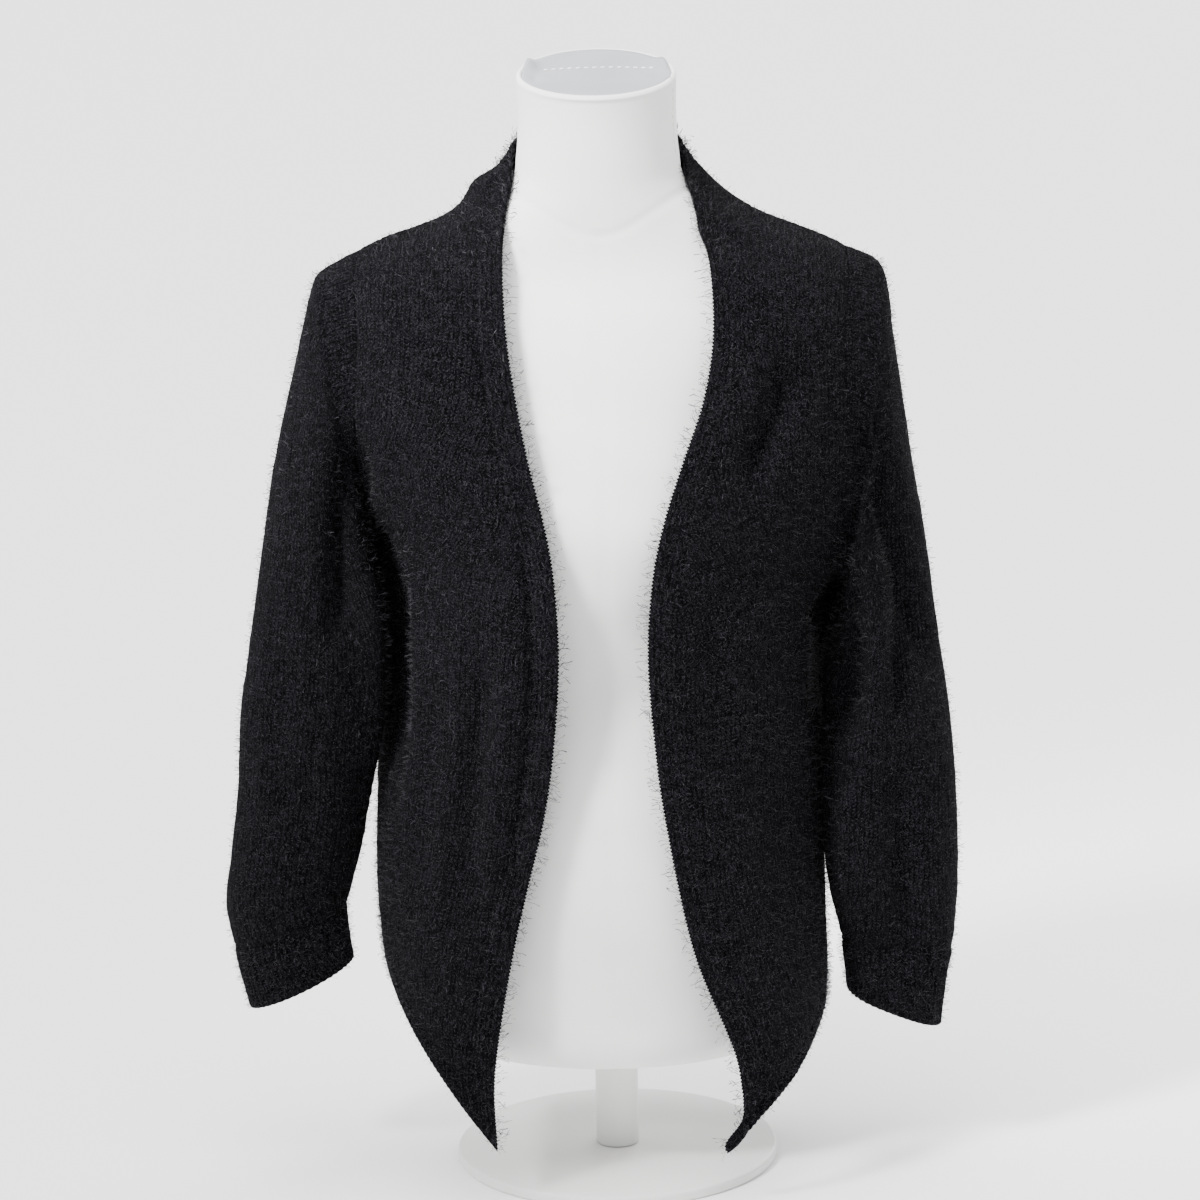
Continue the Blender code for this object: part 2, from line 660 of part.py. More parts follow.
def build_stand(collection):
    """The pole and the flat plate that carry the form."""
    enamel = new_material("stand_enamel", (0.78, 0.78, 0.77), 0.35)
    add_cylinder("stand_base", BASE_RADIUS, 0, BASE_THICKNESS, 2, enamel, collection)
    add_cylinder("stand_pole", POLE_RADIUS, BASE_THICKNESS + SEAM_GAP, FORM_BOTTOM - SEAM_GAP, 1,
                 enamel, collection)


def finer_round(grid, factor):
    """A grid of closed rings with more points round them."""
    columns = grid.shape[1]
    wrapped = np.concatenate([grid[:, -2:], grid, grid[:, :3]], axis=1).transpose(1, 0, 2)
    places = np.arange(columns * factor) / factor
    return smooth_through(np.arange(-2, columns + 3), wrapped, places).transpose(1, 0, 2)


def build_cuff(name, grid, material, collection):
    """A cuff whose ribs are raised on its outer side."""
    fine = finer_round(grid, 2 * CUFF_RIBS / grid.shape[1])
    normals = grid_normals(fine, True)
    raised = np.zeros(fine.shape[:2])
    raised[:, ::2] = CUFF_RIB_HEIGHT
    return wall(name, fine, normals, material, collection, closed=True, raised=raised)


def build_cardigan(collection):
    """Every cloth piece, cut from the garment's surfaces."""
    panel_knit = new_material("panel_knit", (0.012, 0.012, 0.013), 0.95)
    rib_knit = new_material("rib_knit", (0.010, 0.010, 0.011), 0.92)
    band_knit = new_material("band_knit", (0.014, 0.014, 0.015), 0.95)
    grids, normals = cloth_grids()
    hem = ARMHOLE_ROWS + BODY_ROWS - 1

    def piece(name, source, rows, columns, material, closed=False):
        """One piece of a surface: its rows and columns there."""
        wall(name, grids[source][rows, columns], normals[source][rows, columns], material, collection, closed)

    every = slice(None)
    above_hem = slice(None, hem + 1)
    below_hem = slice(hem, None)
    right_panel = slice(None, PANEL_STRIPS + 1)
    left_panel = slice(BAND_STRIPS, None)
    piece("front_right", "front_right", above_hem, right_panel, panel_knit)
    piece("front_left", "front_left", above_hem, left_panel, panel_knit)
    piece("back", "back", above_hem, every, panel_knit)
    piece("hem_right", "front_right", below_hem, right_panel, rib_knit)
    piece("hem_left", "front_left", below_hem, left_panel, rib_knit)
    piece("hem_back", "back", below_hem, every, rib_knit)
    for side in ("right", "left"):
        source = "sleeve_" + side
        piece(source, source, slice(None, SLEEVE_ROWS + 1), every, panel_knit, True)
        build_cuff("cuff_" + side, grids[source][SLEEVE_ROWS:], rib_knit, collection)
    band = []
    for values in (grids, normals):
        up_right = values["front_right"][::-1, PANEL_STRIPS:]
        round_neck = values["neck"].transpose(1, 0, 2)[::-1, ::-1][1:-1]
        down_left = values["front_left"][:, BAND_STRIPS::-1]
        band.append(np.concatenate([up_right, round_neck, down_left]))
    wall("front_band", band[0][:, ::-1], band[1][:, ::-1], band_knit, collection)


def main():
    """Clears the scene and builds the part."""
    for old in list(bpy.data.objects):
        bpy.data.objects.remove(old, do_unlink=True)
    collection = bpy.data.collections.new("cardigan_on_dress_form")
    bpy.context.scene.collection.children.link(collection)
    build_form(collection)
    build_stand(collection)
    build_cardigan(collection)


main()
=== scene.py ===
"""Looks of an open-front brushed-knit cardigan resting on a covered dress form with a plate stand.

Sizes are in millimetres until a mesh is made. +Z is up and the front faces -Y. Left and right are
the wearer's, so the wearer's left is +X. The knit's surfaces are the frame's own, lofted finer.
"""

import logging
import math
from dataclasses import astuple, dataclass, field
from enum import Enum

import bmesh
import bpy
import numpy as np
from mathutils import Matrix, Vector


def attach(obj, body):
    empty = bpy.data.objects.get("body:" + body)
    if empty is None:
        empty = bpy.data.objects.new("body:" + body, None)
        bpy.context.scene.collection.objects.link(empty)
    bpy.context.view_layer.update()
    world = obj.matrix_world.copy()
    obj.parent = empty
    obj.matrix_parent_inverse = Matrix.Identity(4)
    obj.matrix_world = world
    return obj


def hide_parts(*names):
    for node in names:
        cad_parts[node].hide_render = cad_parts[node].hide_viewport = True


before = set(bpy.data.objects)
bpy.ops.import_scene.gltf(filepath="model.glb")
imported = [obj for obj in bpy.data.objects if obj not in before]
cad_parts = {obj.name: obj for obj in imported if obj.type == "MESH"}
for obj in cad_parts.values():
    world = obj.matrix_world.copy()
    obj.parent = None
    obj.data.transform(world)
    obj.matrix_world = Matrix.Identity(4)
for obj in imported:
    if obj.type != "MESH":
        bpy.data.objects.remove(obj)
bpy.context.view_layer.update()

LOG = logging.getLogger("cardigan")
MM = 0.001
TURN = 2 * math.pi
MATH = "ShaderNodeMath"
Grid = np.ndarray


@dataclass(frozen=True)
class FrontRow:
    """One row of a front, from the opening's edge round to the armhole or side seam.

    x counts outwards from the middle and y backwards. A turn of 0 points outwards and 90
    backwards. stand is how far the row falls at its start, and lift makes it climb early.
    """

    edge_x: float
    edge_y: float
    edge_z: float
    side_x: float
    side_y: float
    side_z: float
    edge_turn: float
    side_turn: float
    stand: float = 0.0
    lift: float = 0.0


@dataclass(frozen=True)
class BackRow:
    """Middle point of one row of the back, and the front row that it meets at the side."""

    row: int
    middle_y: float
    middle_z: float


@dataclass(frozen=True)
class Ring:
    """One ring of a sleeve: its outer and inner points, its middle and half its depth."""

    outer_x: float
    outer_z: float
    inner_x: float
    inner_z: float
    middle_y: float
    half_depth: float


@dataclass(frozen=True)
class FormRing:
    """One ring of the dress form."""

    height: float
    half_width: float
    front: float
    back: float


class Face(Enum):
    """The side of the garment that a fold is seen from."""

    FRONT = -1.0
    BACK = 1.0


@dataclass(frozen=True)
class Fold:
    """A soft trough along x, z points. A minus depth is a ridge."""

    face: Face
    line: tuple[tuple[float, float], ...]
    width: float
    depth: float


@dataclass(frozen=True)
class Swell:
    """A rounded lump that stands out of the cloth round one point."""

    centre: tuple[float, float, float]
    reach: tuple[float, float, float]
    height: float


@dataclass(frozen=True)
class Dip:
    """A rounded dip: how deep it is in its middle, and about half its width."""

    depth: float
    width: float

    def at(self, away: np.ndarray) -> np.ndarray:
        """Its depth at distances from its middle."""
        return self.depth * np.exp(-(away / self.width) ** 2)


@dataclass(frozen=True)
class TipRow:
    """One height of the left front's rolled tip. width is the share of its width kept."""

    height: float
    middle: float
    width: float
    shift: float


@dataclass(frozen=True)
class Cut:
    """A piece's cut laid flat, in metres and square metres, and about how many fibres its nap has."""

    width: float
    length: float
    area: float
    fibres: int


FRONT_RIGHT = (
    FrontRow(60, 14, 757, 172, 4, 684, 0, 0, 41),
    FrontRow(61, -16, 731, 175, -22, 671, 0, 20, 20),
    FrontRow(67, -38, 708, 174, -40, 653, 0, 35, 8),
    FrontRow(69, -63, 681, 173, -52, 628, -5, 40, 2),
    FrontRow(67, -86, 634, 174, -58, 600, -5, 45),
    FrontRow(61, -100, 589, 176, -57, 565, -5, 50),
    FrontRow(53, -111, 546, 174, -44, 525, 0, 60),
    FrontRow(43, -118, 503, 168, -18, 494, 0, 72),
    FrontRow(37, -121, 462, 165.5, 16, 476, 0, 78),
    FrontRow(35, -121, 408, 166, 25, 412, 0, 74),
    FrontRow(39, -120, 352, 168, 25, 346, 2, 76),
    FrontRow(48, -120, 292, 173, 24, 280, 4, 86, 0, 0.1),
    FrontRow(70, -122, 204, 175, 21, 225, 4, 90, 0, 0.4),
    FrontRow(87, -123, 108, 174, 18, 190, 0, 88, 0, 0.8),
    FrontRow(87, -124, 47, 171, 16, 162, -4, 88, 0, 1.1),
)
FRONT_LEFT = (
    FrontRow(58, 14, 758, 176, 4, 680, 0, 0, 37),
    FrontRow(63, -16, 728, 177, -22, 668, 0, 20, 20),
    FrontRow(70, -40, 701, 175, -40, 650, 0, 35, 8),
    FrontRow(77, -63, 678, 172, -53, 624, -5, 40, 2),
    FrontRow(78, -86, 630, 172, -60, 592, -5, 42),
    FrontRow(70, -101, 586, 172, -62, 550, -5, 42),
    FrontRow(55, -112, 545, 171, -52, 500, 0, 48),
    FrontRow(41, -119, 504, 168, -26, 452, 0, 62),
    FrontRow(32, -121, 462, 166, 14, 428, 0, 76),
    FrontRow(28, -121, 408, 163.5, 25, 376, 0, 76),
    FrontRow(31, -120, 352, 161, 25, 320, 0, 78),
    FrontRow(38, -120, 290, 157, 24, 262, 2, 82, 0, 0.1),
    FrontRow(57, -122, 192, 156, 21, 205, 2, 90, 0, 0.4),
    FrontRow(88, -124, 104, 158, 18, 155, 0, 88, 0, 0.9),
    FrontRow(82, -124, 42, 157, 16, 120, -4, 88, 0, 1.3),
)
BACK = (
    BackRow(3, 88, 668),
    BackRow(4, 99, 625),
    BackRow(5, 102, 580),
    BackRow(6, 100, 540),
    BackRow(7, 98, 500),
    BackRow(8, 97, 460),
    BackRow(9, 98, 400),
    BackRow(10, 102, 345),
    BackRow(11, 108, 288),
    BackRow(12, 112, 225),
    BackRow(13, 114, 180),
    BackRow(14, 114, 146),
)
SLEEVE_RIGHT = (
    Ring(201, 668, 168.5, 474, 4, 62),
    Ring(209, 650, 167.5, 466, 1, 62),
    Ring(221, 602, 165.5, 452, -2, 59),
    Ring(238, 533, 161.5, 426, -4, 54),
    Ring(250, 465, 160.5, 392, -4, 48),
    Ring(261, 400, 165, 352, -4, 45),
    Ring(270, 345, 171.5, 312, -5, 43),
    Ring(274, 290, 178, 277, -5, 42),
    Ring(281, 240, 185, 243, -6, 41),
    Ring(286, 203, 193, 214, -6, 39),
    Ring(281, 170, 197, 200, -6, 36),
)
CUFF_RIGHT = (
    Ring(278, 152, 197, 186, -6, 36),
    Ring(271, 123, 194, 158, -6, 33),
)
SLEEVE_LEFT = (
    Ring(197, 670, 172, 427, 4, 60),
    Ring(205, 655, 170.5, 420, 1, 61),
    Ring(210, 614, 166, 408, -2, 60),
    Ring(223, 523, 160, 386, -4, 55),
    Ring(232, 470, 157.5, 364, -4, 50),
    Ring(241, 400, 157, 340, -4, 46),
    Ring(249, 343, 157, 305, -5, 43),
    Ring(253, 298, 157.5, 270, -5, 42),
    Ring(255, 250, 160, 238, -6, 41),
    Ring(255, 206, 166, 207, -6, 39),
    Ring(251, 158, 174.5, 170, -6, 34),
)
CUFF_LEFT = (
    Ring(247, 138, 175, 157, -6, 34),
    Ring(242, 99, 176.5, 128, -6, 32),
)
FORM = (
    FormRing(95, 120, 89, 89),
    FormRing(100, 125, 93, 93),
    FormRing(135, 133, 98, 98),
    FormRing(180, 140, 103, 104),
    FormRing(230, 144, 104, 108),
    FormRing(285, 141, 99, 104),
    FormRing(335, 126, 88, 90),
    FormRing(372, 117, 82, 80),
    FormRing(410, 123, 88, 80),
    FormRing(450, 136, 102, 84),
    FormRing(489, 145, 110, 88),
    FormRing(530, 150, 104, 92),
    FormRing(580, 158, 92, 95),
    FormRing(620, 173, 80, 93),
    FormRing(643, 185, 70, 86),
    FormRing(656, 186, 62, 78),
    FormRing(667, 176, 56, 70),
    FormRing(679, 152, 52, 64),
    FormRing(691, 124, 50, 58),
    FormRing(703, 98, 49, 55),
    FormRing(716, 76, 49, 53),
    FormRing(731, 62, 49, 52),
    FormRing(750, 58, 49, 51),
    FormRing(780, 56.5, 49, 51),
    FormRing(807, 57, 51, 52),
)

# Deep folds first, where the cloth hangs from the shoulders and over the arms, then the small creases
FOLDS = (
    Fold(Face.FRONT, ((-182, 575), (-181, 530), (-187, 489), (-190, 437), (-196, 390)), 12, 19.0),
    Fold(Face.FRONT, ((-171, 500), (-170, 420), (-171, 340), (-176, 270)), 7, -9.0),
    Fold(Face.FRONT, ((-153, 496), (-149, 440), (-150, 360), (-156, 270)), 9, 17.0),
    Fold(Face.FRONT, ((-57, 535), (-52, 371), (-68, 274), (-72, 221), (-83, 184)), 5, 4.5),
    Fold(Face.FRONT, ((-86, 440), (-94, 360), (-104, 270), (-110, 190)), 12, 9.0),
    Fold(Face.FRONT, ((-118, 400), (-128, 300), (-138, 210)), 13, 9.0),
    Fold(Face.FRONT, ((-74, 400), (-80, 330), (-92, 240)), 10, -2.5),
    Fold(Face.FRONT, ((137, 622), (123, 575), (105, 537), (94, 518)), 11, 13.0),
    Fold(Face.FRONT, ((152, 612), (139, 568), (121, 530), (110, 510)), 9, -4.0),
    Fold(Face.FRONT, ((66, 470), (73, 410), (80, 350), (88, 300)), 14, 6.0),
    Fold(Face.FRONT, ((104, 345), (116, 270), (130, 180)), 16, 5.0),
    Fold(Face.FRONT, ((186, 580), (199, 520), (214, 462), (228, 406), (242, 356)), 13, 20.0),
    Fold(Face.FRONT, ((147, 402), (163, 428), (188, 440)), 8, 14.0),
    Fold(Face.FRONT, ((142, 428), (160, 452), (188, 464)), 9, -6.0),
    Fold(Face.FRONT, ((160, 432), (158, 380), (156, 322)), 9, 14.0),
    Fold(Face.FRONT, ((176, 432), (174, 380), (170, 320)), 14, 14.0),
    Fold(Face.FRONT, ((191, 444), (193, 377), (188, 305)), 9, -5.0),
    Fold(Face.FRONT, ((210, 440), (210, 390), (210, 330)), 9, 11.0),
    Fold(Face.FRONT, ((206, 336), (212, 270), (212, 190), (214, 130)), 17, 13.0),
    Fold(Face.FRONT, ((176, 300), (178, 240), (180, 180)), 10, -6.0),
    Fold(Face.FRONT, ((146, 330), (149, 250), (152, 170)), 11, -8.0),
    Fold(Face.FRONT, ((-232, 420), (-240, 330), (-236, 250)), 12, 3.5),
    Fold(Face.FRONT, ((-214, 330), (-222, 270), (-228, 215)), 10, 3.5),
    Fold(Face.BACK, ((-104, 570), (-122, 470), (-130, 360)), 20, 7.0),
    Fold(Face.BACK, ((100, 550), (114, 440), (124, 320)), 20, 7.0),
    Fold(Face.BACK, ((-36, 350), (-46, 260), (-56, 160)), 22, 6.0),
    Fold(Face.BACK, ((50, 320), (60, 240), (76, 150)), 20, 6.0),
    Fold(Face.BACK, ((-196, 570), (-212, 470), (-222, 380)), 12, 8.0),
    Fold(Face.BACK, ((188, 530), (202, 440), (212, 350)), 12, 8.0),
    Fold(Face.BACK, ((4, 600), (0, 500), (6, 400)), 18, 3.0),
    Fold(Face.FRONT, ((160, 540), (148, 505), (120, 470)), 9, 2.5),
    Fold(Face.FRONT, ((156, 500), (140, 470), (112, 446)), 9, 2.0),
    Fold(Face.FRONT, ((-150, 560), (-142, 520), (-118, 486)), 9, 1.8),
    Fold(Face.FRONT, ((-214, 470), (-224, 440), (-244, 424)), 8, 2.0),
    Fold(Face.FRONT, ((-196, 400), (-214, 384), (-246, 380)), 9, 2.2),
    Fold(Face.FRONT, ((-206, 300), (-226, 290), (-254, 296)), 8, 2.0),
    Fold(Face.FRONT, ((188, 300), (206, 286), (236, 288)), 9, 2.4),
    Fold(Face.FRONT, ((184, 246), (206, 236), (240, 244)), 8, 2.0),
    Fold(Face.BACK, ((-150, 500), (-120, 470), (-86, 462)), 11, 2.4),
    Fold(Face.BACK, ((148, 486), (116, 460), (80, 456)), 11, 2.2),
    Fold(Face.BACK, ((-200, 420), (-222, 404), (-250, 404)), 9, 2.4),
    Fold(Face.BACK, ((186, 400), (208, 382), (238, 386)), 9, 2.4),
    Fold(Face.BACK, ((-206, 320), (-226, 306), (-252, 310)), 8, 2.0),
    Fold(Face.BACK, ((180, 300), (204, 286), (236, 290)), 8, 2.0),
)
TIP_ROLL = (
    TipRow(42, 82.7, 2.40, -2.5),
    TipRow(46, 84.5, 2.00, -3.5),
    TipRow(51, 87.0, 1.30, -3.5),
    TipRow(58, 90.8, 0.76, -2.0),
    TipRow(66, 95.2, 0.60, 0.0),
    TipRow(76, 100.8, 0.82, 0.0),
    TipRow(92, 109.0, 1.00, 0.0),
)
SWELLS = (
    Swell((-84, 8, 726), (16, 30, 14), 7.0),
    Swell((-168, 8, 464), (12, 24, 18), 2.4),
    Swell((168, 8, 418), (12, 24, 18), 2.4),
    Swell((-128, -70, 290), (28, 60, 110), 12.0),
    Swell((-150, -60, 430), (22, 50, 60), 4.0),
    Swell((180, -50, 220), (22, 60, 100), 13.0),
)
CUTS = {
    "front_right": Cut(0.21, 0.67, 0.092, 7500),
    "front_left": Cut(0.21, 0.68, 0.0915, 7500),
    "back": Cut(0.43, 0.61, 0.228, 9000),
    "sleeve_right": Cut(0.36, 0.50, 0.122, 7500),
    "sleeve_left": Cut(0.36, 0.50, 0.1165, 7500),
    "cuff_right": Cut(0.245, 0.049, 0.01165, 1500),
    "cuff_left": Cut(0.245, 0.049, 0.0117, 1500),
    "hem_right": Cut(0.16, 0.022, 0.0034, 700),
    "hem_left": Cut(0.16, 0.022, 0.0034, 700),
    "hem_back": Cut(0.47, 0.022, 0.0102, 1200),
    "front_band": Cut(1.76, 0.020, 0.0351, 5000),
}


def unit(vectors: Grid) -> Grid:
    """Vectors of length one, along the last axis."""
    return vectors / np.maximum(np.linalg.norm(vectors, axis=-1, keepdims=True), 1e-9)


def smooth_through(keys: Grid, values: Grid, places: Grid) -> Grid:
    """Reads a smooth curve through keyed values.

    Args:
        keys: rising key numbers.
        values: one value or array of values for each key.
        places: where to read the curve.

    Returns:
        The values at the places.
    """
    keys = np.asarray(keys, float)
    values = np.asarray(values, float)
    wide = (-1,) + (1,) * (values.ndim - 1)
    steps = np.diff(keys)
    rates = np.diff(values, axis=0) / steps.reshape(wide)
    slopes = np.empty_like(values)
    slopes[0] = rates[0]
    slopes[-1] = rates[-1]
    before = steps[:-1].reshape(wide)
    after = steps[1:].reshape(wide)
    slopes[1:-1] = (rates[:-1] * after + rates[1:] * before) / (before + after)
    places = np.clip(np.asarray(places, float), keys[0], keys[-1])
    index = np.clip(np.searchsorted(keys, places, side="right") - 1, 0, len(keys) - 2)
    step = steps[index].reshape(wide)
    part = ((places - keys[index]) / steps[index]).reshape(wide)
    rest = 1 - part
    start = values[index] * (1 + 2 * part) * rest ** 2 + slopes[index] * step * part * rest ** 2
    end = values[index + 1] * part ** 2 * (3 - 2 * part) - slopes[index + 1] * step * part ** 2 * rest
    return start + end


def bezier(corners: tuple[Grid, Grid, Grid, Grid], count: int) -> Grid:
    """Points of a cubic Bezier curve through its four control points."""
    part = np.linspace(0, 1, count).reshape(-1, 1)
    first, second, third, last = corners
    rest = 1 - part
    early = first * rest ** 3 + 3 * second * part * rest ** 2
    return early + 3 * third * part ** 2 * rest + last * part ** 3


def lengths_along(points: Grid) -> Grid:
    """Length from a polyline's start to each of its points."""
    return np.concatenate([[0], np.cumsum(np.linalg.norm(np.diff(points, axis=0), axis=1))])


def at_lengths(points: Grid, lengths: Grid, values: Grid | None = None) -> Grid:
    """Points of a polyline, or values along it, at the given lengths."""
    along = lengths_along(points)
    read = points if values is None else values
    return np.stack([np.interp(lengths, along, read[:, axis]) for axis in range(3)], axis=1)


def grid_normals(grid: Grid, closed: bool) -> Grid:
    """Outward normals of a grid. closed says that its columns run all the way round."""
    if closed:
        around = np.roll(grid, -1, axis=1) - np.roll(grid, 1, axis=1)
    else:
        around = np.gradient(grid, axis=1)
    return unit(np.cross(np.gradient(grid, axis=0), around))


def run_along(grid: Grid, axis: int) -> Grid:
    """Distance from a grid's first row, or with axis 1 from its first column, to each point."""
    first = grid[:, :1] if axis else grid[:1]
    return np.cumsum(np.linalg.norm(np.diff(grid, axis=axis, prepend=first), axis=2), axis=axis)


def form_sizes(heights: Grid) -> Grid:
    """The dress form's half width, front depth and back depth at the given heights."""
    table = np.array([astuple(ring) for ring in FORM], float)
    return smooth_through(table[:, 0], table[:, 1:], heights)


def finer_round(grid: Grid, factor: float) -> Grid:
    """A grid of closed rings with more points round them."""
    columns = grid.shape[1]
    wrapped = np.concatenate([grid[:, -2:], grid, grid[:, :3]], axis=1).transpose(1, 0, 2)
    places = np.arange(round(columns * factor)) / factor
    return smooth_through(np.arange(-2, columns + 3), wrapped, places).transpose(1, 0, 2)


def linear(colour: str) -> tuple[float, float, float, float]:
    """Linear RGBA of an sRGB hex colour such as "#20202a"."""
    parts = [int(colour[i:i + 2], 16) / 255 for i in (1, 3, 5)]
    return (*[p / 12.92 if p <= 0.04045 else ((p + 0.055) / 1.055) ** 2.4 for p in parts], 1.0)


def set_stops(node: bpy.types.Node, stops: tuple[tuple[float, str], ...]) -> None:
    """Sets a colour ramp's stops, each a place and an sRGB hex colour."""
    elements = node.color_ramp.elements
    while len(elements) < len(stops):
        elements.new(0.5)
    for element, (place, colour) in zip(elements, stops):
        element.position = place
        element.color = linear(colour)


def add_node(tree: bpy.types.NodeTree, kind: str, settings: dict | None = None,
             links: dict | None = None) -> bpy.types.Node:
    """Adds a node with its settings and links.

    Args:
        tree: the node tree.
        kind: the node's type name.
        settings: values by property name, or by input name or number. stops are a colour ramp's.
        links: output sockets by the name or number of the input that each one feeds.

    Returns:
        The new node.
    """
    node = tree.nodes.new(kind)
    for name, value in (settings or {}).items():
        if name == "stops":
            set_stops(node, value)
        elif isinstance(name, str) and hasattr(node, name):
            setattr(node, name, value)
        else:
            node.inputs[name].default_value = value
    for name, socket in (links or {}).items():
        tree.links.new(socket, node.inputs[name])
    return node


@dataclass(frozen=True)
class Finish:
    """What every finish has: a name, a colour and how rough it is."""

    name: str
    colour: str
    roughness: float

    def start(self) -> tuple[bpy.types.Material, bpy.types.NodeTree, bpy.types.Node]:
        """A new material with its tree and its Principled shader."""
        material = bpy.data.materials.new(self.name)
        material.use_nodes = True
        tree = material.node_tree
        shader = tree.nodes["Principled BSDF"]
        shader.inputs["Base Color"].default_value = linear(self.colour)
        shader.inputs["Roughness"].default_value = self.roughness
        material.diffuse_color = linear(self.colour)
        return material, tree, shader


@dataclass(frozen=True)
class BrushedKnit(Finish):
    """Brushed mohair-mix knit: V-shaped stitches with near-black painted shade in the pits between them and
    a painted highlight on their raised tops, under curly loose hairs drawn grey as painted sheen.
    """

    # The pits' near-black colour is painted shade in the hollows between stitches.
    pit_shade: str = "#010102"
    # The hairs' grey colour is painted sheen on the loose fibres; it is also the colour of the ramp's
    # lightest stop.
    hair_sheen: str = "#2a292e"
    wale: float = 3.7
    course: float = 2.6
    stitch_depth: float = 0.8
    curl: float = 3.4
    hair_width: float = 0.035
    hair_run: float = 2.2
    hair_breaks: float = 0.42
    hair_ends: float = 6.0
    hair_share: float = 0.9
    hair_height: float = 0.35
    finer_hairs: float = 0.62
    finer_seed: float = 0.37
    clump: float = 1.5
    clump_height: float = 3.0
    sway: float = 1.3
    slant: float = 1.6
    column_depth: float = 0.36
    # How strongly the stitches' height paints shade into the pits and a highlight onto the stitch tops.
    stitch_shading: float = 0.17

    def hairs(self, tree: bpy.types.NodeTree, spot: bpy.types.NodeSocket, curl: float,
              seed: float) -> bpy.types.NodeSocket:
        """Thin curly lines, broken where another noise is low.

        Args:
            tree: the material's tree.
            spot: the surface's place.
            curl: size of the curls in millimetres.
            seed: moves the pattern, so that two layers differ.

        Returns:
            1 on a hair and 0 beside it.
        """
        moved = add_node(tree, "ShaderNodeVectorMath", {"operation": "ADD", 1: (seed, seed, seed)},
                         {0: spot}).outputs[0]
        curls = add_node(tree, "ShaderNodeTexNoise",
                         {"Scale": 1 / (curl * MM), "Detail": 1.0, "Distortion": 1.2}, {"Vector": moved})
        breaks = add_node(tree, "ShaderNodeTexNoise",
                          {"Scale": 1 / (self.hair_run * curl * MM), "Detail": 0.0}, {"Vector": moved})
        offset = add_node(tree, MATH, {"operation": "SUBTRACT", 1: 0.5}, {0: curls.outputs["Fac"]})
        away = add_node(tree, MATH, {"operation": "ABSOLUTE"}, {0: offset.outputs[0]})
        line = add_node(tree, MATH, {"operation": "MULTIPLY_ADD", "use_clamp": True,
                                     1: -1 / self.hair_width, 2: 1.0}, {0: away.outputs[0]})
        kept = add_node(tree, MATH, {"operation": "MULTIPLY_ADD", "use_clamp": True, 1: self.hair_ends,
                                     2: -self.hair_breaks * self.hair_ends}, {0: breaks.outputs["Fac"]})
        return add_node(tree, MATH, {"operation": "MULTIPLY"},
                        {0: line.outputs[0], 1: kept.outputs[0]}).outputs[0]

    def stitches(self, tree: bpy.types.NodeTree, spot: bpy.types.NodeSocket) -> bpy.types.NodeSocket:
        """Height of the V-shaped stitches, a little uneven, from the piece's own UV map."""
        place = add_node(tree, "ShaderNodeUVMap", {"uv_map": "knit"}).outputs[0]
        wander = add_node(tree, "ShaderNodeTexNoise", {"Scale": 150.0, "Detail": 2.0}, {"Vector": spot})
        split = add_node(tree, "ShaderNodeSeparateXYZ", links={0: place})
        sway = add_node(tree, MATH, {"operation": "MULTIPLY_ADD", 1: self.sway, 2: -self.sway / 2},
                        {0: wander.outputs["Fac"]})
        across = add_node(tree, MATH, {"operation": "MULTIPLY_ADD", 1: 1 / self.wale},
                          {0: split.outputs[0], 2: sway.outputs[0]})
        down = add_node(tree, MATH, {"operation": "MULTIPLY_ADD", 1: 1 / self.course},
                        {0: split.outputs[1], 2: sway.outputs[0]})
        within = add_node(tree, MATH, {"operation": "FRACT"}, {0: across.outputs[0]})
        offset = add_node(tree, MATH, {"operation": "SUBTRACT", 1: 0.5}, {0: within.outputs[0]})
        side = add_node(tree, MATH, {"operation": "ABSOLUTE"}, {0: offset.outputs[0]})
        lean = add_node(tree, MATH, {"operation": "MULTIPLY_ADD", 1: self.slant},
                        {0: side.outputs[0], 2: down.outputs[0]})
        waves = []
        for source, start in ((lean, 0.0), (side, -0.25), (across, 0.0)):
            angle = add_node(tree, MATH, {"operation": "MULTIPLY_ADD", 1: TURN, 2: start * TURN},
                             {0: source.outputs[0]})
            waves.append(add_node(tree, MATH, {"operation": "COSINE"}, {0: angle.outputs[0]}).outputs[0])
        rise, hill, columns = waves
        loops = add_node(tree, MATH, {"operation": "MULTIPLY_ADD", 1: 0.45, 2: 0.55}, {0: rise})
        legs = add_node(tree, MATH, {"operation": "MULTIPLY"}, {0: hill, 1: loops.outputs[0]})
        return add_node(tree, MATH, {"operation": "MULTIPLY_ADD", 1: -self.column_depth},
                        {0: columns, 2: legs.outputs[0]}).outputs[0]

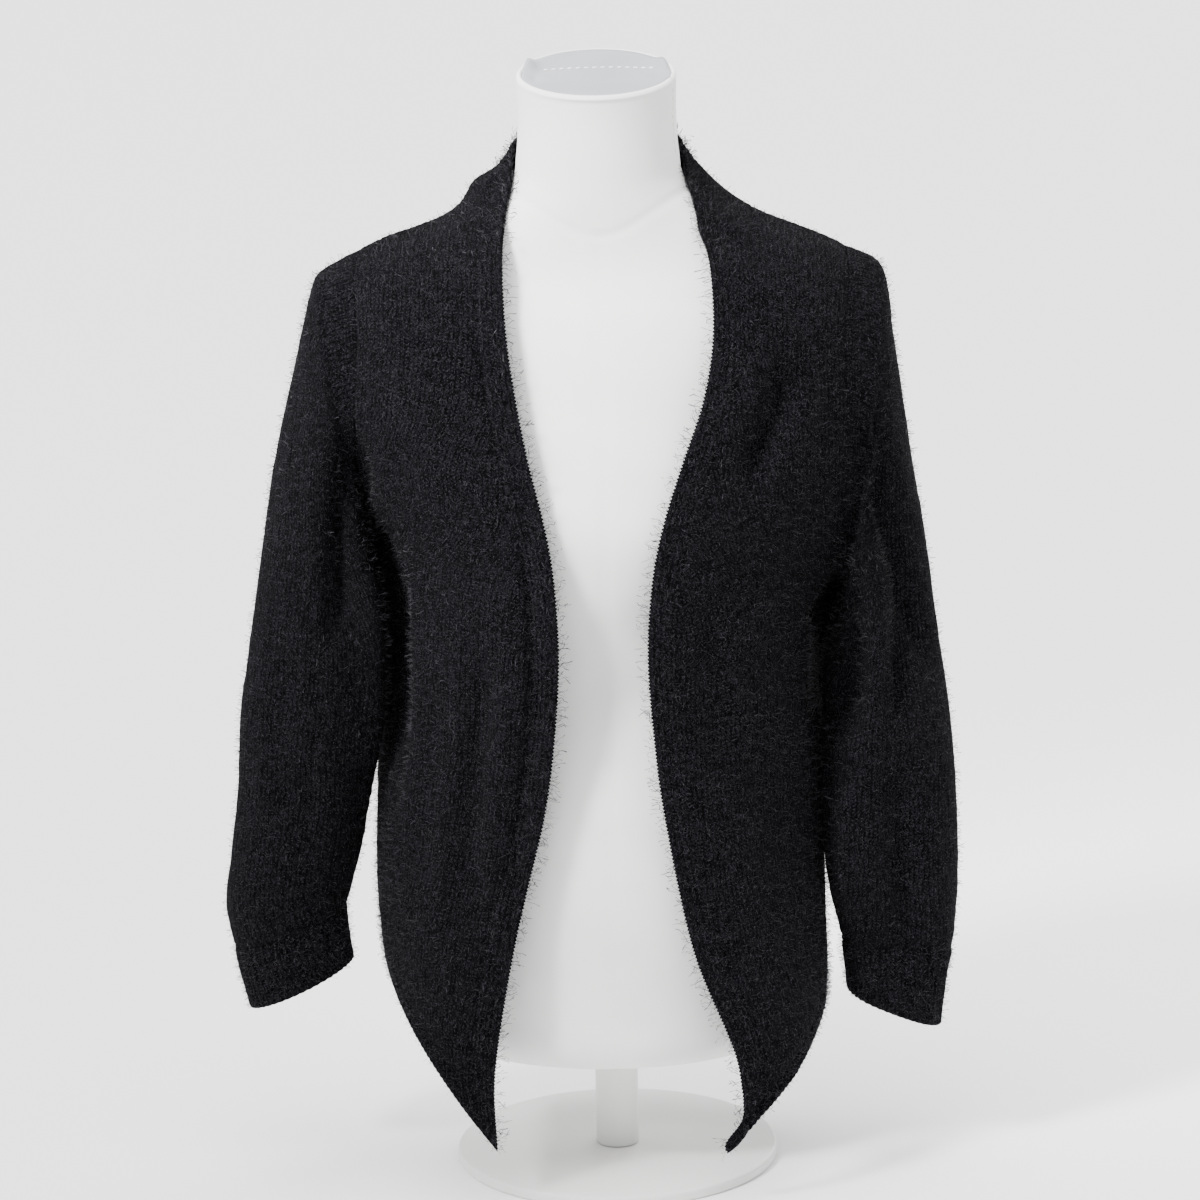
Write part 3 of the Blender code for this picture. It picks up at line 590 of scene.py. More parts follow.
    def material(self) -> bpy.types.Material:
        """Builds the knit's nodes. Its UV map counts millimetres of cloth."""
        material, tree, shader = self.start()
        shader.inputs["Sheen Weight"].default_value = 0.02
        shader.inputs["Sheen Roughness"].default_value = 0.4
        shader.inputs["Sheen Tint"].default_value = linear("#8a8890")
        shader.inputs["Specular IOR Level"].default_value = 0.04
        spot = add_node(tree, "ShaderNodeTexCoord").outputs["Object"]
        stitch = self.stitches(tree, spot)
        clumps = add_node(tree, "ShaderNodeTexNoise",
                          {"Scale": 1 / (self.clump * MM), "Detail": 4.0, "Roughness": 0.7},
                          {"Vector": spot}).outputs["Fac"]
        hairs = add_node(tree, MATH, {"operation": "MAXIMUM"},
                         {0: self.hairs(tree, spot, self.curl, 0.0),
                          1: self.hairs(tree, spot, self.finer_hairs * self.curl,
                                        self.finer_seed)}).outputs[0]
        worn = add_node(tree, MATH, {"operation": "MULTIPLY", 1: self.clump_height}, {0: clumps})
        knitted = add_node(tree, MATH, {"operation": "MULTIPLY_ADD", 1: self.stitch_depth},
                           {0: stitch, 2: worn.outputs[0]})
        height = add_node(tree, MATH, {"operation": "MULTIPLY_ADD", 1: self.hair_height},
                          {0: hairs, 2: knitted.outputs[0]})
        bump = add_node(tree, "ShaderNodeBump", {"Strength": 1.0, "Distance": 1.0 * MM},
                        {"Height": height.outputs[0]})
        tree.links.new(bump.outputs[0], shader.inputs["Normal"])
        # Colour from the stitches' height and the clumps: painted shade in the pits, a painted highlight on
        # the stitch tops, and a random tone from the clumps.
        clump_and_stitch_shade = add_node(tree, MATH, {"operation": "MULTIPLY_ADD", 1: self.stitch_shading},
                       {0: stitch, 2: clumps})
        ground = add_node(tree, "ShaderNodeValToRGB",
                          {"stops": ((0.46, self.pit_shade), (0.60, self.colour), (0.76, self.hair_sheen))},
                          {0: clump_and_stitch_shade.outputs[0]})
        # Loose hairs are drawn in the hairs' grey, a painted sheen on the fibres.
        share = add_node(tree, MATH, {"operation": "MULTIPLY", 1: self.hair_share}, {0: hairs})
        mixed = add_node(tree, "ShaderNodeMix", {"data_type": "RGBA", 7: linear(self.hair_sheen)},
                         {"Factor": share.outputs[0], 6: ground.outputs["Color"]})
        tree.links.new(mixed.outputs[2], shader.inputs["Base Color"])
        return material


@dataclass(frozen=True)
class Nap(Finish):
    """Loose wool fibres: fine, slightly glossy hairs that stand off the knit, drawn in greys lighter than
    the knit as painted sheen.
    """

    dark: str = "#070608"
    light: str = "#323037"

    def material(self) -> bpy.types.Material:
        """Builds the fibre's nodes: its colour wanders a little from hair to hair."""
        material, tree, shader = self.start()
        shader.inputs["Specular IOR Level"].default_value = 0.3
        spot = add_node(tree, "ShaderNodeTexCoord").outputs["Object"]
        drift = add_node(tree, "ShaderNodeTexNoise", {"Scale": 240.0, "Detail": 1.0}, {"Vector": spot})
        # The fibres' greys are painted sheen; how they wander from hair to hair is a random tone.
        colour = add_node(tree, "ShaderNodeValToRGB", {"stops": ((0.35, self.dark), (0.7, self.light))},
                          {0: drift.outputs["Fac"]})
        tree.links.new(colour.outputs["Color"], shader.inputs["Base Color"])
        return material


@dataclass(frozen=True)
class CoverCloth(Finish):
    """Stretch cotton cover: a fine plain jersey, matt and nearly white."""

    thread: float = 1.2  # the real 0.5 mm is too fine to show, so it is drawn coarser
    shaded: str = "#e9e8e7"

    def material(self) -> bpy.types.Material:
        """Builds the cover's nodes: a fine knit grain with a little unevenness in tone."""
        material, tree, shader = self.start()
        shader.inputs["Sheen Weight"].default_value = 0.15
        shader.inputs["Specular IOR Level"].default_value = 0.2
        spot = add_node(tree, "ShaderNodeTexCoord").outputs["Object"]
        stretched = add_node(tree, "ShaderNodeMapping", {"Scale": (1.0, 1.0, 0.45)}, {"Vector": spot})
        grain = add_node(tree, "ShaderNodeTexNoise",
                         {"Scale": 1 / (self.thread * MM), "Detail": 3.0, "Roughness": 0.6},
                         {"Vector": stretched.outputs[0]})
        tone = add_node(tree, "ShaderNodeTexNoise", {"Scale": 14.0, "Detail": 2.0}, {"Vector": spot})
        bump = add_node(tree, "ShaderNodeBump", {"Strength": 0.25, "Distance": 0.25 * MM},
                        {"Height": grain.outputs["Fac"]})
        tree.links.new(bump.outputs[0], shader.inputs["Normal"])
        colour = add_node(tree, "ShaderNodeValToRGB", {"stops": ((0.3, self.shaded), (0.7, self.colour))},
                          {0: tone.outputs["Fac"]})
        tree.links.new(colour.outputs["Color"], shader.inputs["Base Color"])
        return material


@dataclass(frozen=True)
class Enamel(Finish):
    """Sprayed enamel on steel: smooth, satin, with a faint orange-peel surface."""

    peel: float = 3.0

    def material(self) -> bpy.types.Material:
        """Builds the enamel's nodes."""
        material, tree, shader = self.start()
        spot = add_node(tree, "ShaderNodeTexCoord").outputs["Object"]
        peel = add_node(tree, "ShaderNodeTexNoise", {"Scale": 1 / (self.peel * MM), "Detail": 1.0},
                        {"Vector": spot})
        bump = add_node(tree, "ShaderNodeBump", {"Strength": 0.12, "Distance": 0.05 * MM},
                        {"Height": peel.outputs["Fac"]})
        tree.links.new(bump.outputs[0], shader.inputs["Normal"])
        tone = add_node(tree, MATH, {"operation": "MULTIPLY_ADD", 1: 0.06, 2: 0.27},
                        {0: peel.outputs["Fac"]})
        tree.links.new(tone.outputs[0], shader.inputs["Roughness"])
        return material


def add_object(name: str, data: bpy.types.ID) -> bpy.types.Object:
    """A new object for some data, linked to the scene."""
    made = bpy.data.objects.new(name, data)
    bpy.context.scene.collection.objects.link(made)
    return made


def add_mesh(name: str, points: Grid, faces: list, material: bpy.types.Material,
             uvs: Grid | None = None) -> bpy.types.Object:
    """A smooth mesh object at the origin.

    Args:
        name: the object's name.
        points: its points, in millimetres.
        faces: index tuples.
        material: its finish.
        uvs: u and v of each point, in millimetres of cloth.

    Returns:
        The new object.
    """
    data = bpy.data.meshes.new(name)
    data.from_pydata((points * MM).tolist(), [], faces)
    if uvs is not None:
        layer = data.uv_layers.new(name="knit")
        corners = np.empty(len(data.loops), int)
        data.loops.foreach_get("vertex_index", corners)
        layer.data.foreach_set("uv", uvs[corners].astype(np.float32).ravel())
    data.shade_smooth()
    data.materials.append(material)
    return add_object(name, data)


def geometry_tree(name: str, inputs: dict[str, str], output: str) -> bpy.types.NodeTree:
    """A Geometry Nodes tree with named inputs, each with its kind of value, and one geometry output."""
    tree = bpy.data.node_groups.new(name, "GeometryNodeTree")
    for label, kind in inputs.items():
        tree.interface.new_socket(label, in_out="INPUT", socket_type="NodeSocket" + kind)
    tree.interface.new_socket(output, in_out="OUTPUT", socket_type="NodeSocketGeometry")
    return tree


def run_nodes(piece: bpy.types.Object, tree: bpy.types.NodeTree, values: dict[str, object]) -> None:
    """Runs a Geometry Nodes tree on a piece and keeps the result as its plain mesh.

    Args:
        piece: the object, whose mesh is the tree's first input.
        tree: the node tree.
        values: the tree's other inputs by name.
    """
    modifier = piece.modifiers.new(tree.name, "NODES")
    modifier.node_group = tree
    for socket in tree.interface.items_tree:
        if socket.in_out == "INPUT" and socket.name in values:
            modifier[socket.identifier] = values[socket.name]
    graph = bpy.context.evaluated_depsgraph_get()
    data = bpy.data.meshes.new_from_object(piece.evaluated_get(graph), preserve_all_data_layers=True,
                                           depsgraph=graph)
    data.name = piece.name
    piece.modifiers.clear()
    piece.data = data


def walled(faces: list) -> list:
    """Faces of a closed wall.

    Args:
        faces: the outer skin's faces. The inner skin's points follow the outer ones in the same order.

    Returns:
        The outer faces, the inner ones turned over, and a rim along every open edge.
    """
    count = 1 + max(max(face) for face in faces)
    edges = {(a, b) for face in faces for a, b in zip(face, face[1:] + face[:1])}
    inner = [tuple(corner + count for corner in reversed(face)) for face in faces]
    rim = [(b, a, a + count, b + count) for a, b in edges if (b, a) not in edges]
    return faces + inner + rim


@dataclass
class Surface:
    """A stretch of the garment as rows of points with their normals."""

    points: Grid
    normals: Grid
    closed: bool = False

    def part(self, rows: slice, columns: slice = slice(None)) -> "Surface":
        """Some of its rows and columns."""
        return Surface(self.points[rows, columns], self.normals[rows, columns])


@dataclass
class Garment:
    """The garment's outer surfaces, lofted from its rows and rings."""

    wall: float = 2.4
    form_gap: float = 1.5
    band_width: float = 20.0
    hem_width: float = 22.0
    handle: float = 0.38
    underarm_row: int = 8
    back_armhole_offset: float = 8.0
    neck_seam_back: tuple[float, float] = (66.0, 741.0)
    neck_edge_back: tuple[float, float] = (57.0, 764.0)
    neck_share: float = 0.56
    back_inset: float = 0.985
    middle_rise: float = 0.2
    fold_fade: float = 0.3
    fold_turn: float = 1.6
    slope_step: float = 0.5
    rest_rounds: int = 6
    curve_samples: int = 160
    band_strips: int = 10
    panel_strips: int = 90
    neck_strips: int = 48
    armhole_rows: int = 36
    body_rows: int = 61
    hem_rows: int = 6
    sleeve_rows: int = 75
    cuff_rows: int = 14
    surfaces: dict[str, Surface] = field(default_factory=dict)

    @property
    def hem_start(self) -> int:
        """The row where the hem is sewn on."""
        return self.armhole_rows + self.body_rows - 1

    def heading(self, turn: float, outwards: int) -> Grid:
        """Unit vector in plan: turn 0 points outwards and 90 backwards."""
        angle = math.radians(turn)
        return np.array([outwards * math.cos(angle), math.sin(angle), 0.0])

    def row_curve(self, row: FrontRow, outwards: int) -> Grid:
        """Points of one row of a front, from the opening's edge to the side."""
        edge = np.array([outwards * row.edge_x, row.edge_y, row.edge_z])
        side = np.array([outwards * row.side_x, row.side_y, row.side_z])
        handle = self.handle * math.hypot(side[0] - edge[0], side[1] - edge[1])
        fall = (side[2] - edge[2]) / 3
        near_edge = edge + handle * self.heading(row.edge_turn, outwards)
        near_edge[2] += fall * (1 + row.lift) - row.stand
        near_side = side - handle * self.heading(row.side_turn, outwards)
        near_side[2] -= fall * (1 - row.lift)
        return bezier((edge, near_edge, near_side, side), self.curve_samples)

    def front_strips(self, curve: Grid) -> Grid:
        """Points across a row: the band's strips, then the panel's."""
        band = np.linspace(0, self.band_width, self.band_strips + 1)
        panel = np.linspace(self.band_width, lengths_along(curve)[-1], self.panel_strips + 1)
        return at_lengths(curve, np.concatenate([band, panel[1:]]))

    def fill_rows(self, keys: Grid, curves: Grid) -> Grid:
        """Rows through table rows: to the underarm, down to the hem seam, then down the hem."""
        upper = smooth_through(keys, curves, np.linspace(0, self.underarm_row, self.armhole_rows + 1))
        lower = smooth_through(keys, curves, np.linspace(self.underarm_row, keys[-1], self.curve_samples))
        columns = []
        for column in range(lower.shape[1]):
            line = lower[:, column]
            whole = lengths_along(line)[-1]
            body = np.linspace(0, whole - self.hem_width, self.body_rows)
            hem = np.linspace(whole - self.hem_width, whole, self.hem_rows + 1)
            columns.append(at_lengths(line, np.concatenate([body, hem[1:]])))
        return np.concatenate([upper, np.stack(columns, axis=1)[1:]])

    def front(self, rows: tuple[FrontRow, ...], outwards: int) -> Grid:
        """Outer surface of a front with its band and hem."""
        curves = np.stack([self.front_strips(self.row_curve(row, outwards)) for row in rows])
        return self.fill_rows(np.arange(len(rows)), curves)

    def half_ellipse(self, right: Grid, middle: list[float], left: Grid) -> Grid:
        """Points round the back of the neck between two side points."""
        points = []
        for angle in np.linspace(0, math.pi, self.neck_strips + 1):
            side = right if angle < math.pi / 2 else left
            across = abs(math.cos(angle))
            behind = math.sin(angle)
            points.append((side[0] * across, side[1] + (middle[0] - side[1]) * behind,
                           side[2] + (middle[1] - side[2]) * behind))
        return np.array(points)

    def neck(self, right: Grid, left: Grid) -> Grid:
        """The band round the back neck, from the opening's edge to its seam."""
        lines = []
        for strip in range(self.band_strips + 1):
            share = strip / self.band_strips
            middle = [e + (s - e) * share for e, s in zip(self.neck_edge_back, self.neck_seam_back)]
            lines.append(self.half_ellipse(right[0, strip], middle, left[0, strip]))
        return np.stack(lines, axis=1)

    def back_curve(self, row: BackRow) -> Grid:
        """One row of the back, right side to left, through its middle."""
        middle = np.array([0.0, row.middle_y, row.middle_z])
        above = row.row < self.underarm_row
        halves = []
        for fronts, outwards in ((FRONT_RIGHT, -1), (FRONT_LEFT, 1)):
            front = fronts[row.row]
            start = np.array([outwards * front.side_x, front.side_y, front.side_z])
            if above:
                depth = 2 * self.back_armhole_offset - start[1]
                start = np.array([start[0] * self.back_inset, depth, start[2]])
            handle = self.handle * math.hypot(start[0], start[1] - middle[1])
            turn = 180 - front.side_turn if above else front.side_turn
            rise = (middle[2] - start[2]) / 3
            near_side = start + handle * self.heading(turn, outwards) + [0, 0, rise]
            near_middle = middle + [outwards * handle, 0, -rise * self.middle_rise]
            curve = bezier((start, near_side, near_middle, middle), self.curve_samples)
            whole = lengths_along(curve)[-1]
            neck = whole * self.neck_share
            shoulder = np.linspace(0, neck, self.panel_strips + 1)
            rest = np.linspace(neck, whole, self.neck_strips // 2 + 1)
            halves.append(at_lengths(curve, np.concatenate([shoulder, rest[1:]])))
        return np.concatenate([halves[0], halves[1][-2::-1]])

    def back(self, right: Grid, left: Grid, neck: Grid) -> Grid:
        """Outer surface of the back and its hem, right side to left."""
        shoulders = right[0, :self.band_strips - 1:-1], left[0, self.band_strips:]
        top = np.concatenate([shoulders[0], neck[1:-1, -1], shoulders[1]])
        keys = np.array([0] + [row.row for row in BACK])
        grid = self.fill_rows(keys, np.stack([top] + [self.back_curve(row) for row in BACK]))
        grid[0] = top
        grid[self.armhole_rows:, 0] = right[self.armhole_rows:, -1]
        grid[self.armhole_rows:, -1] = left[self.armhole_rows:, -1]
        return grid

    def ring_points(self, ring: Ring, outwards: int, count: int) -> Grid:
        """Points round a sleeve: from its inner side over the front, the outer side and the back."""
        inner = np.array([outwards * ring.inner_x, ring.middle_y, ring.inner_z])
        outer = np.array([outwards * ring.outer_x, ring.middle_y, ring.outer_z])
        middle = (inner + outer) / 2
        angles = np.linspace(0, TURN, count, endpoint=False)[:, None]
        forward = np.array([0, ring.half_depth, 0])
        return middle + (inner - middle) * np.cos(angles) - forward * np.sin(angles)

    def sleeve(self, front: Grid, back: Grid, column: int,
               rings: tuple[tuple[Ring, ...], tuple[Ring, ...]], outwards: int) -> Grid:
        """Outer surface of a sleeve and its cuff: rows run round it, from the armhole down."""
        armhole = np.concatenate([front[self.armhole_rows::-1, -1], back[1:self.armhole_rows, column]])
        sleeve, cuff = rings
        curves = [armhole] + [self.ring_points(ring, outwards, len(armhole)) for ring in sleeve + cuff]
        places = np.linspace(0, len(sleeve), self.sleeve_rows + 1)
        cuff_places = np.linspace(len(sleeve), len(curves) - 1, self.cuff_rows + 1)
        places = np.concatenate([places, cuff_places[1:]])
        return smooth_through(np.arange(len(curves)), np.stack(curves), places)

    def outside_form(self, points: Grid) -> tuple[Grid, Grid]:
        """How far points lie outside the form, roughly, and the way out."""
        def outside(places: Grid) -> Grid:
            """The form's own measure: 0 on its surface."""
            sizes = form_sizes(places[:, 2])
            depth = np.where(places[:, 1] < 0, sizes[:, 1], sizes[:, 2])
            return np.hypot(places[:, 0] / sizes[:, 0], places[:, 1] / depth) - 1

        step = self.slope_step
        slope = np.stack([(outside(points + step * axis) - outside(points - step * axis)) / (2 * step)
                          for axis in np.eye(3)], axis=1)
        size = np.linalg.norm(slope, axis=1)
        return outside(points) / size, slope / size[:, None]

    def rest_on_form(self, grid: Grid) -> Grid:
        """Moves points that would lie in the form out onto it."""
        points = grid.reshape(-1, 3).copy()
        for _ in range(self.rest_rounds):
            distance, way_out = self.outside_form(points)
            short = np.clip(self.wall + self.form_gap - distance, 0, None)
            short[points[:, 2] > FORM[-1].height - self.wall] = 0
            points += way_out * short[:, None]
        return points.reshape(grid.shape)

    def fold_profile(self, spots: Grid, fold: Fold) -> Grid:
        """Depth of one fold at x, z spots."""
        line = np.array(fold.line, float)
        runs = np.diff(line, axis=0)
        lengths = np.linalg.norm(runs, axis=1)
        nearest = np.full(spots.shape[:-1], np.inf)
        share = np.zeros(spots.shape[:-1])
        for index, (start, run) in enumerate(zip(line, runs)):
            offset = spots - start
            along = np.clip(offset @ run / (run @ run), 0, 1)
            away = np.linalg.norm(offset - along[..., None] * run, axis=-1)
            closer = away < nearest
            nearest = np.where(closer, away, nearest)
            passed = (np.sum(lengths[:index]) + along * lengths[index]) / np.sum(lengths)
            share = np.where(closer, passed, share)
        fade = np.clip(np.minimum(share, 1 - share) / self.fold_fade, 0, 1)
        return fold.depth * np.exp(-(nearest / fold.width) ** 2) * fade * fade * (3 - 2 * fade)

    def inward(self, grid: Grid, normals: Grid) -> Grid:
        """How far folds and swells move each point in."""
        depths = np.zeros(grid.shape[:2])
        for fold in FOLDS:
            facing = np.clip(normals[..., 1] * fold.face.value * self.fold_turn, 0, 1)
            depths += self.fold_profile(grid[..., [0, 2]], fold) * facing
        for swell in SWELLS:
            away = np.linalg.norm((grid - swell.centre) / swell.reach, axis=-1)
            depths -= swell.height * np.exp(-away ** 2)
        return depths

    def share_normals(self, grids: dict[str, Grid], normals: dict[str, Grid]) -> None:
        """Gives points that meet at a seam one normal, so that no slit opens between the pieces."""
        shared: dict[tuple, Grid] = {}
        panels = [name for name in grids if not name.startswith("sleeve")]
        keys = {name: [tuple(key) for key in np.round(grid.reshape(-1, 3), 2)]
                for name, grid in grids.items()}
        for name in panels:
            for key, normal in zip(keys[name], normals[name].reshape(-1, 3)):
                shared[key] = shared.get(key, 0) + normal
        for name in ("sleeve_right", "sleeve_left"):
            armhole = grids[name][0]
            around = unit(np.roll(armhole, -1, axis=0) - np.roll(armhole, 1, axis=0))
            edge = keys[name][:len(armhole)]
            body = unit(np.array([shared[key] for key in edge]))
            sleeve = normals[name][0]
            out = unit(body + sleeve + np.cross(around, sleeve) - np.cross(around, body))
            normals[name][0] = out
            shared.update(zip(edge, out))
        for name in panels:
            found = np.array([shared[key] for key in keys[name]])
            normals[name] = unit(found).reshape(normals[name].shape)

    def rolled_tip(self, grid: Grid) -> Grid:
        """The left front's lower point, rolled by wear to a narrow neck with a blunt end."""
        heights, middles, widths, shifts = np.array([astuple(row) for row in TIP_ROLL]).T
        low = grid[..., 2] < heights[-1]
        middle = np.interp(grid[..., 2], heights, middles)
        width = np.interp(grid[..., 2], heights, widths)
        shift = np.interp(grid[..., 2], heights, shifts)
        rolled = grid.copy()
        rolled[..., 0] = np.where(low, middle + (grid[..., 0] - middle) * width + shift, grid[..., 0])
        return rolled

    def loft(self) -> None:
        """Works out every surface, folded and resting on the form."""
        right = self.front(FRONT_RIGHT, -1)
        left = self.front(FRONT_LEFT, 1)
        neck = self.neck(right, left)
        back = self.back(right, left, neck)
        sleeve_right = self.sleeve(right, back, 0, (SLEEVE_RIGHT, CUFF_RIGHT), -1)
        sleeve_left = self.sleeve(left, back, -1, (SLEEVE_LEFT, CUFF_LEFT), 1)
        # Columns run anticlockwise seen from above, so that every normal points out of the garment
        grids = {
            "front_right": right[:, ::-1],
            "front_left": left,
            "neck": neck[::-1].transpose(1, 0, 2),
            "back": back[:, ::-1],
            "sleeve_right": sleeve_right[:, ::-1],
            "sleeve_left": sleeve_left,
        }
        closed = {name: name.startswith("sleeve") for name in grids}
        normals = {name: grid_normals(grid, closed[name]) for name, grid in grids.items()}
        self.share_normals(grids, normals)
        for name, grid in grids.items():
            moved = grid - normals[name] * self.inward(grid, normals[name])[..., None]
            grids[name] = self.rest_on_form(moved)
        grids["front_left"] = self.rolled_tip(grids["front_left"])
        normals = {name: grid_normals(grid, closed[name]) for name, grid in grids.items()}
        self.share_normals(grids, normals)
        self.surfaces = {name: Surface(grids[name], normals[name], closed[name]) for name in grids}


@dataclass(kw_only=True)
class KnitPiece:
    """A knitted piece: an outer skin that its nap grows on, and that skin again as a closed thin wall."""

    name: str
    surface: Surface
    finish: bpy.types.Material
    seam_reach: float = 2.0
    thickness: float = 2.0
    skin: bpy.types.Object | None = None

    def groove(self, distance: Grid, depth: float) -> Grid:
        """Depth of a sewn seam's groove at distances from the seam."""
        return depth * np.exp(-(distance / self.seam_reach) ** 2)

    def add_wall(self, outer: Grid, lining: Grid, faces: list, uvs: Grid) -> bpy.types.Object:
        """Makes the skin and the wall.

        Args:
            outer: the outer points.
            lining: the inner points, in the same order.
            faces: the outer skin's faces.
            uvs: u and v of each outer point, in millimetres of cloth.

        Returns:
            The wall.
        """
        self.skin = add_mesh(self.name + "_skin", outer, faces, self.finish, uvs)
        return add_mesh(self.name, np.concatenate([outer, lining]), walled(faces), self.finish,
                        np.concatenate([uvs, uvs]))


@dataclass(kw_only=True)
class KnitPanel(KnitPiece):
    """A knitted panel: wales at an even pitch from its grain line, cut off at its edges.

    Columns stand half a wale apart along each row. Where a row is shorter they end on the edge, as
    stitches do where a knitter decreases. seam_depths are those at its top, foot, start and end.
    """

    grain: float
    seam_depths: tuple[float, float, float, float]
    wale: float = 3.7
    lump: float = 0.22
    seed: int = 11

    def columns(self) -> tuple[Grid, Grid, Grid, Grid, Grid]:
        """Reads each row at the wales' places.

        Returns:
            Points, normals, distance from the grain line, and distances from the two side edges.
        """
        step = self.wale / 2
        rows = self.surface.points
        totals = np.array([lengths_along(row)[-1] for row in rows])
        starts = totals * self.grain
        before = math.ceil(starts.max() / step)
        after = math.ceil((totals - starts).max() / step)
        offsets = np.arange(-before, after + 1) * step
        points, normals, spots = [], [], []
        for row, ways, total, start in zip(rows, self.surface.normals, totals, starts):
            lengths = np.clip(start + offsets, 0, total)
            points.append(at_lengths(row, lengths))
            normals.append(at_lengths(row, lengths, ways))
            spots.append(lengths)
        spots = np.stack(spots)
        across = spots - starts[:, None]
        return np.stack(points), unit(np.stack(normals)), across, spots, totals[:, None] - spots

    def faces(self, from_start: Grid, from_end: Grid) -> list[list[int]]:
        """Faces between the rows, drawn together where a row has reached its edge.

        Args:
            from_start: each point's distance from the side where the rows start.
            from_end: its distance from the other side.

        Returns:
            Corners of each face.
        """
        index = np.arange(from_start.size).reshape(from_start.shape)
        for row, before, after in zip(index, from_start, from_end):
            low = np.flatnonzero(before <= 0)
            high = np.flatnonzero(after <= 1e-6)
            if len(low):
                row[:low[-1]] = row[low[-1]]
            if len(high):
                row[high[0]:] = row[high[0]]
        faces = []
        for upper, lower in zip(index[:-1].tolist(), index[1:].tolist()):
            for around in zip(upper[:-1], lower[:-1], lower[1:], upper[1:]):
                corners = list(dict.fromkeys(around))
                if len(corners) > 2:
                    faces.append(corners)
        return faces

    def build(self) -> bpy.types.Object:
        """Makes the panel, with small lumps all over and grooves along its seams."""
        points, normals, across, from_start, from_end = self.columns()
        down = run_along(points, 0)
        height = np.random.default_rng(self.seed).normal(0, self.lump, across.shape)
        for depth, distance in zip(self.seam_depths, (down, down[-1:] - down, from_start, from_end)):
            height = height - self.groove(distance, depth)
        faces = self.faces(from_start, from_end)
        used = np.unique(np.concatenate([np.array(face) for face in faces]))
        place = np.zeros(across.size, int)
        place[used] = np.arange(len(used))
        faces = [tuple(place[face].tolist()) for face in faces]
        outer = (points + normals * height[..., None]).reshape(-1, 3)[used]
        lining = (points - normals * self.thickness).reshape(-1, 3)[used]
        uvs = np.stack([across, down], axis=2).reshape(-1, 2)[used]
        return self.add_wall(outer, lining, faces, uvs)


@dataclass(kw_only=True)
class RibPiece(KnitPiece):
    """A narrow knitted piece whose ribs run with its columns, such as a cuff, hem or band."""

    ribs: int
    rib_height: float
    lump: float = 0.1
    seed: int = 12
    roll: float = 0.8
    roll_place: float = 2.5
    roll_width: float = 2.2
    scallop: float = 0.0
    seam_depth: float = 1.0
    seam_rows: tuple[bool, bool] = (True, False)
    seam_columns: tuple[bool, bool] = (False, False)

    def relief(self, down: Grid, across: Grid) -> Grid:
        """Height of the ribs, the seams' grooves and the rolled free edges.

        Args:
            down: each point's distance from the first row.
            across: its distance from the first column.

        Returns:
            Heights over the smooth surface, in millimetres.
        """
        rows, columns = down.shape
        is_open = not self.surface.closed
        turn = np.arange(columns) / (columns - is_open)
        height = self.rib_height * np.cos(turn * self.ribs * TURN)[None, :] * np.ones((rows, 1))
        height = height + np.random.default_rng(self.seed).normal(0, self.lump, height.shape)
        edges = ((down, self.seam_rows[0], True), (down[-1:] - down, self.seam_rows[1], True),
                 (across, self.seam_columns[0], is_open),
                 (across[:, -1:] - across, self.seam_columns[1], is_open))
        for distance, is_seam, is_edge in edges:
            if is_seam:
                height = height - self.groove(distance, self.seam_depth)
            elif is_edge:
                height = height + self.roll * np.exp(-((distance - self.roll_place) / self.roll_width) ** 2)
        return height

    def build(self) -> bpy.types.Object:
        """Makes the piece, with every other stitch of a scalloped edge pushed out."""
        points, normals = self.surface.points.copy(), self.surface.normals
        rows, columns = points.shape[:2]
        down, across = run_along(points, 0), run_along(points, 1)
        height = self.relief(down, across)
        if self.scallop:
            wave = self.scallop * (-1.0) ** np.arange(rows)
            points[:, 0] += unit(points[:, 0] - points[:, 1]) * wave[:, None]
        faces = []
        for upper in range(0, (rows - 1) * columns, columns):
            lower = upper + columns
            for j in range(columns if self.surface.closed else columns - 1):
                k = (j + 1) % columns
                faces.append((upper + j, lower + j, lower + k, upper + k))
        outer = (points + normals * height[..., None]).reshape(-1, 3)
        lining = (points - normals * self.thickness).reshape(-1, 3)
        return self.add_wall(outer, lining, faces, np.stack([across, down], axis=2).reshape(-1, 2))


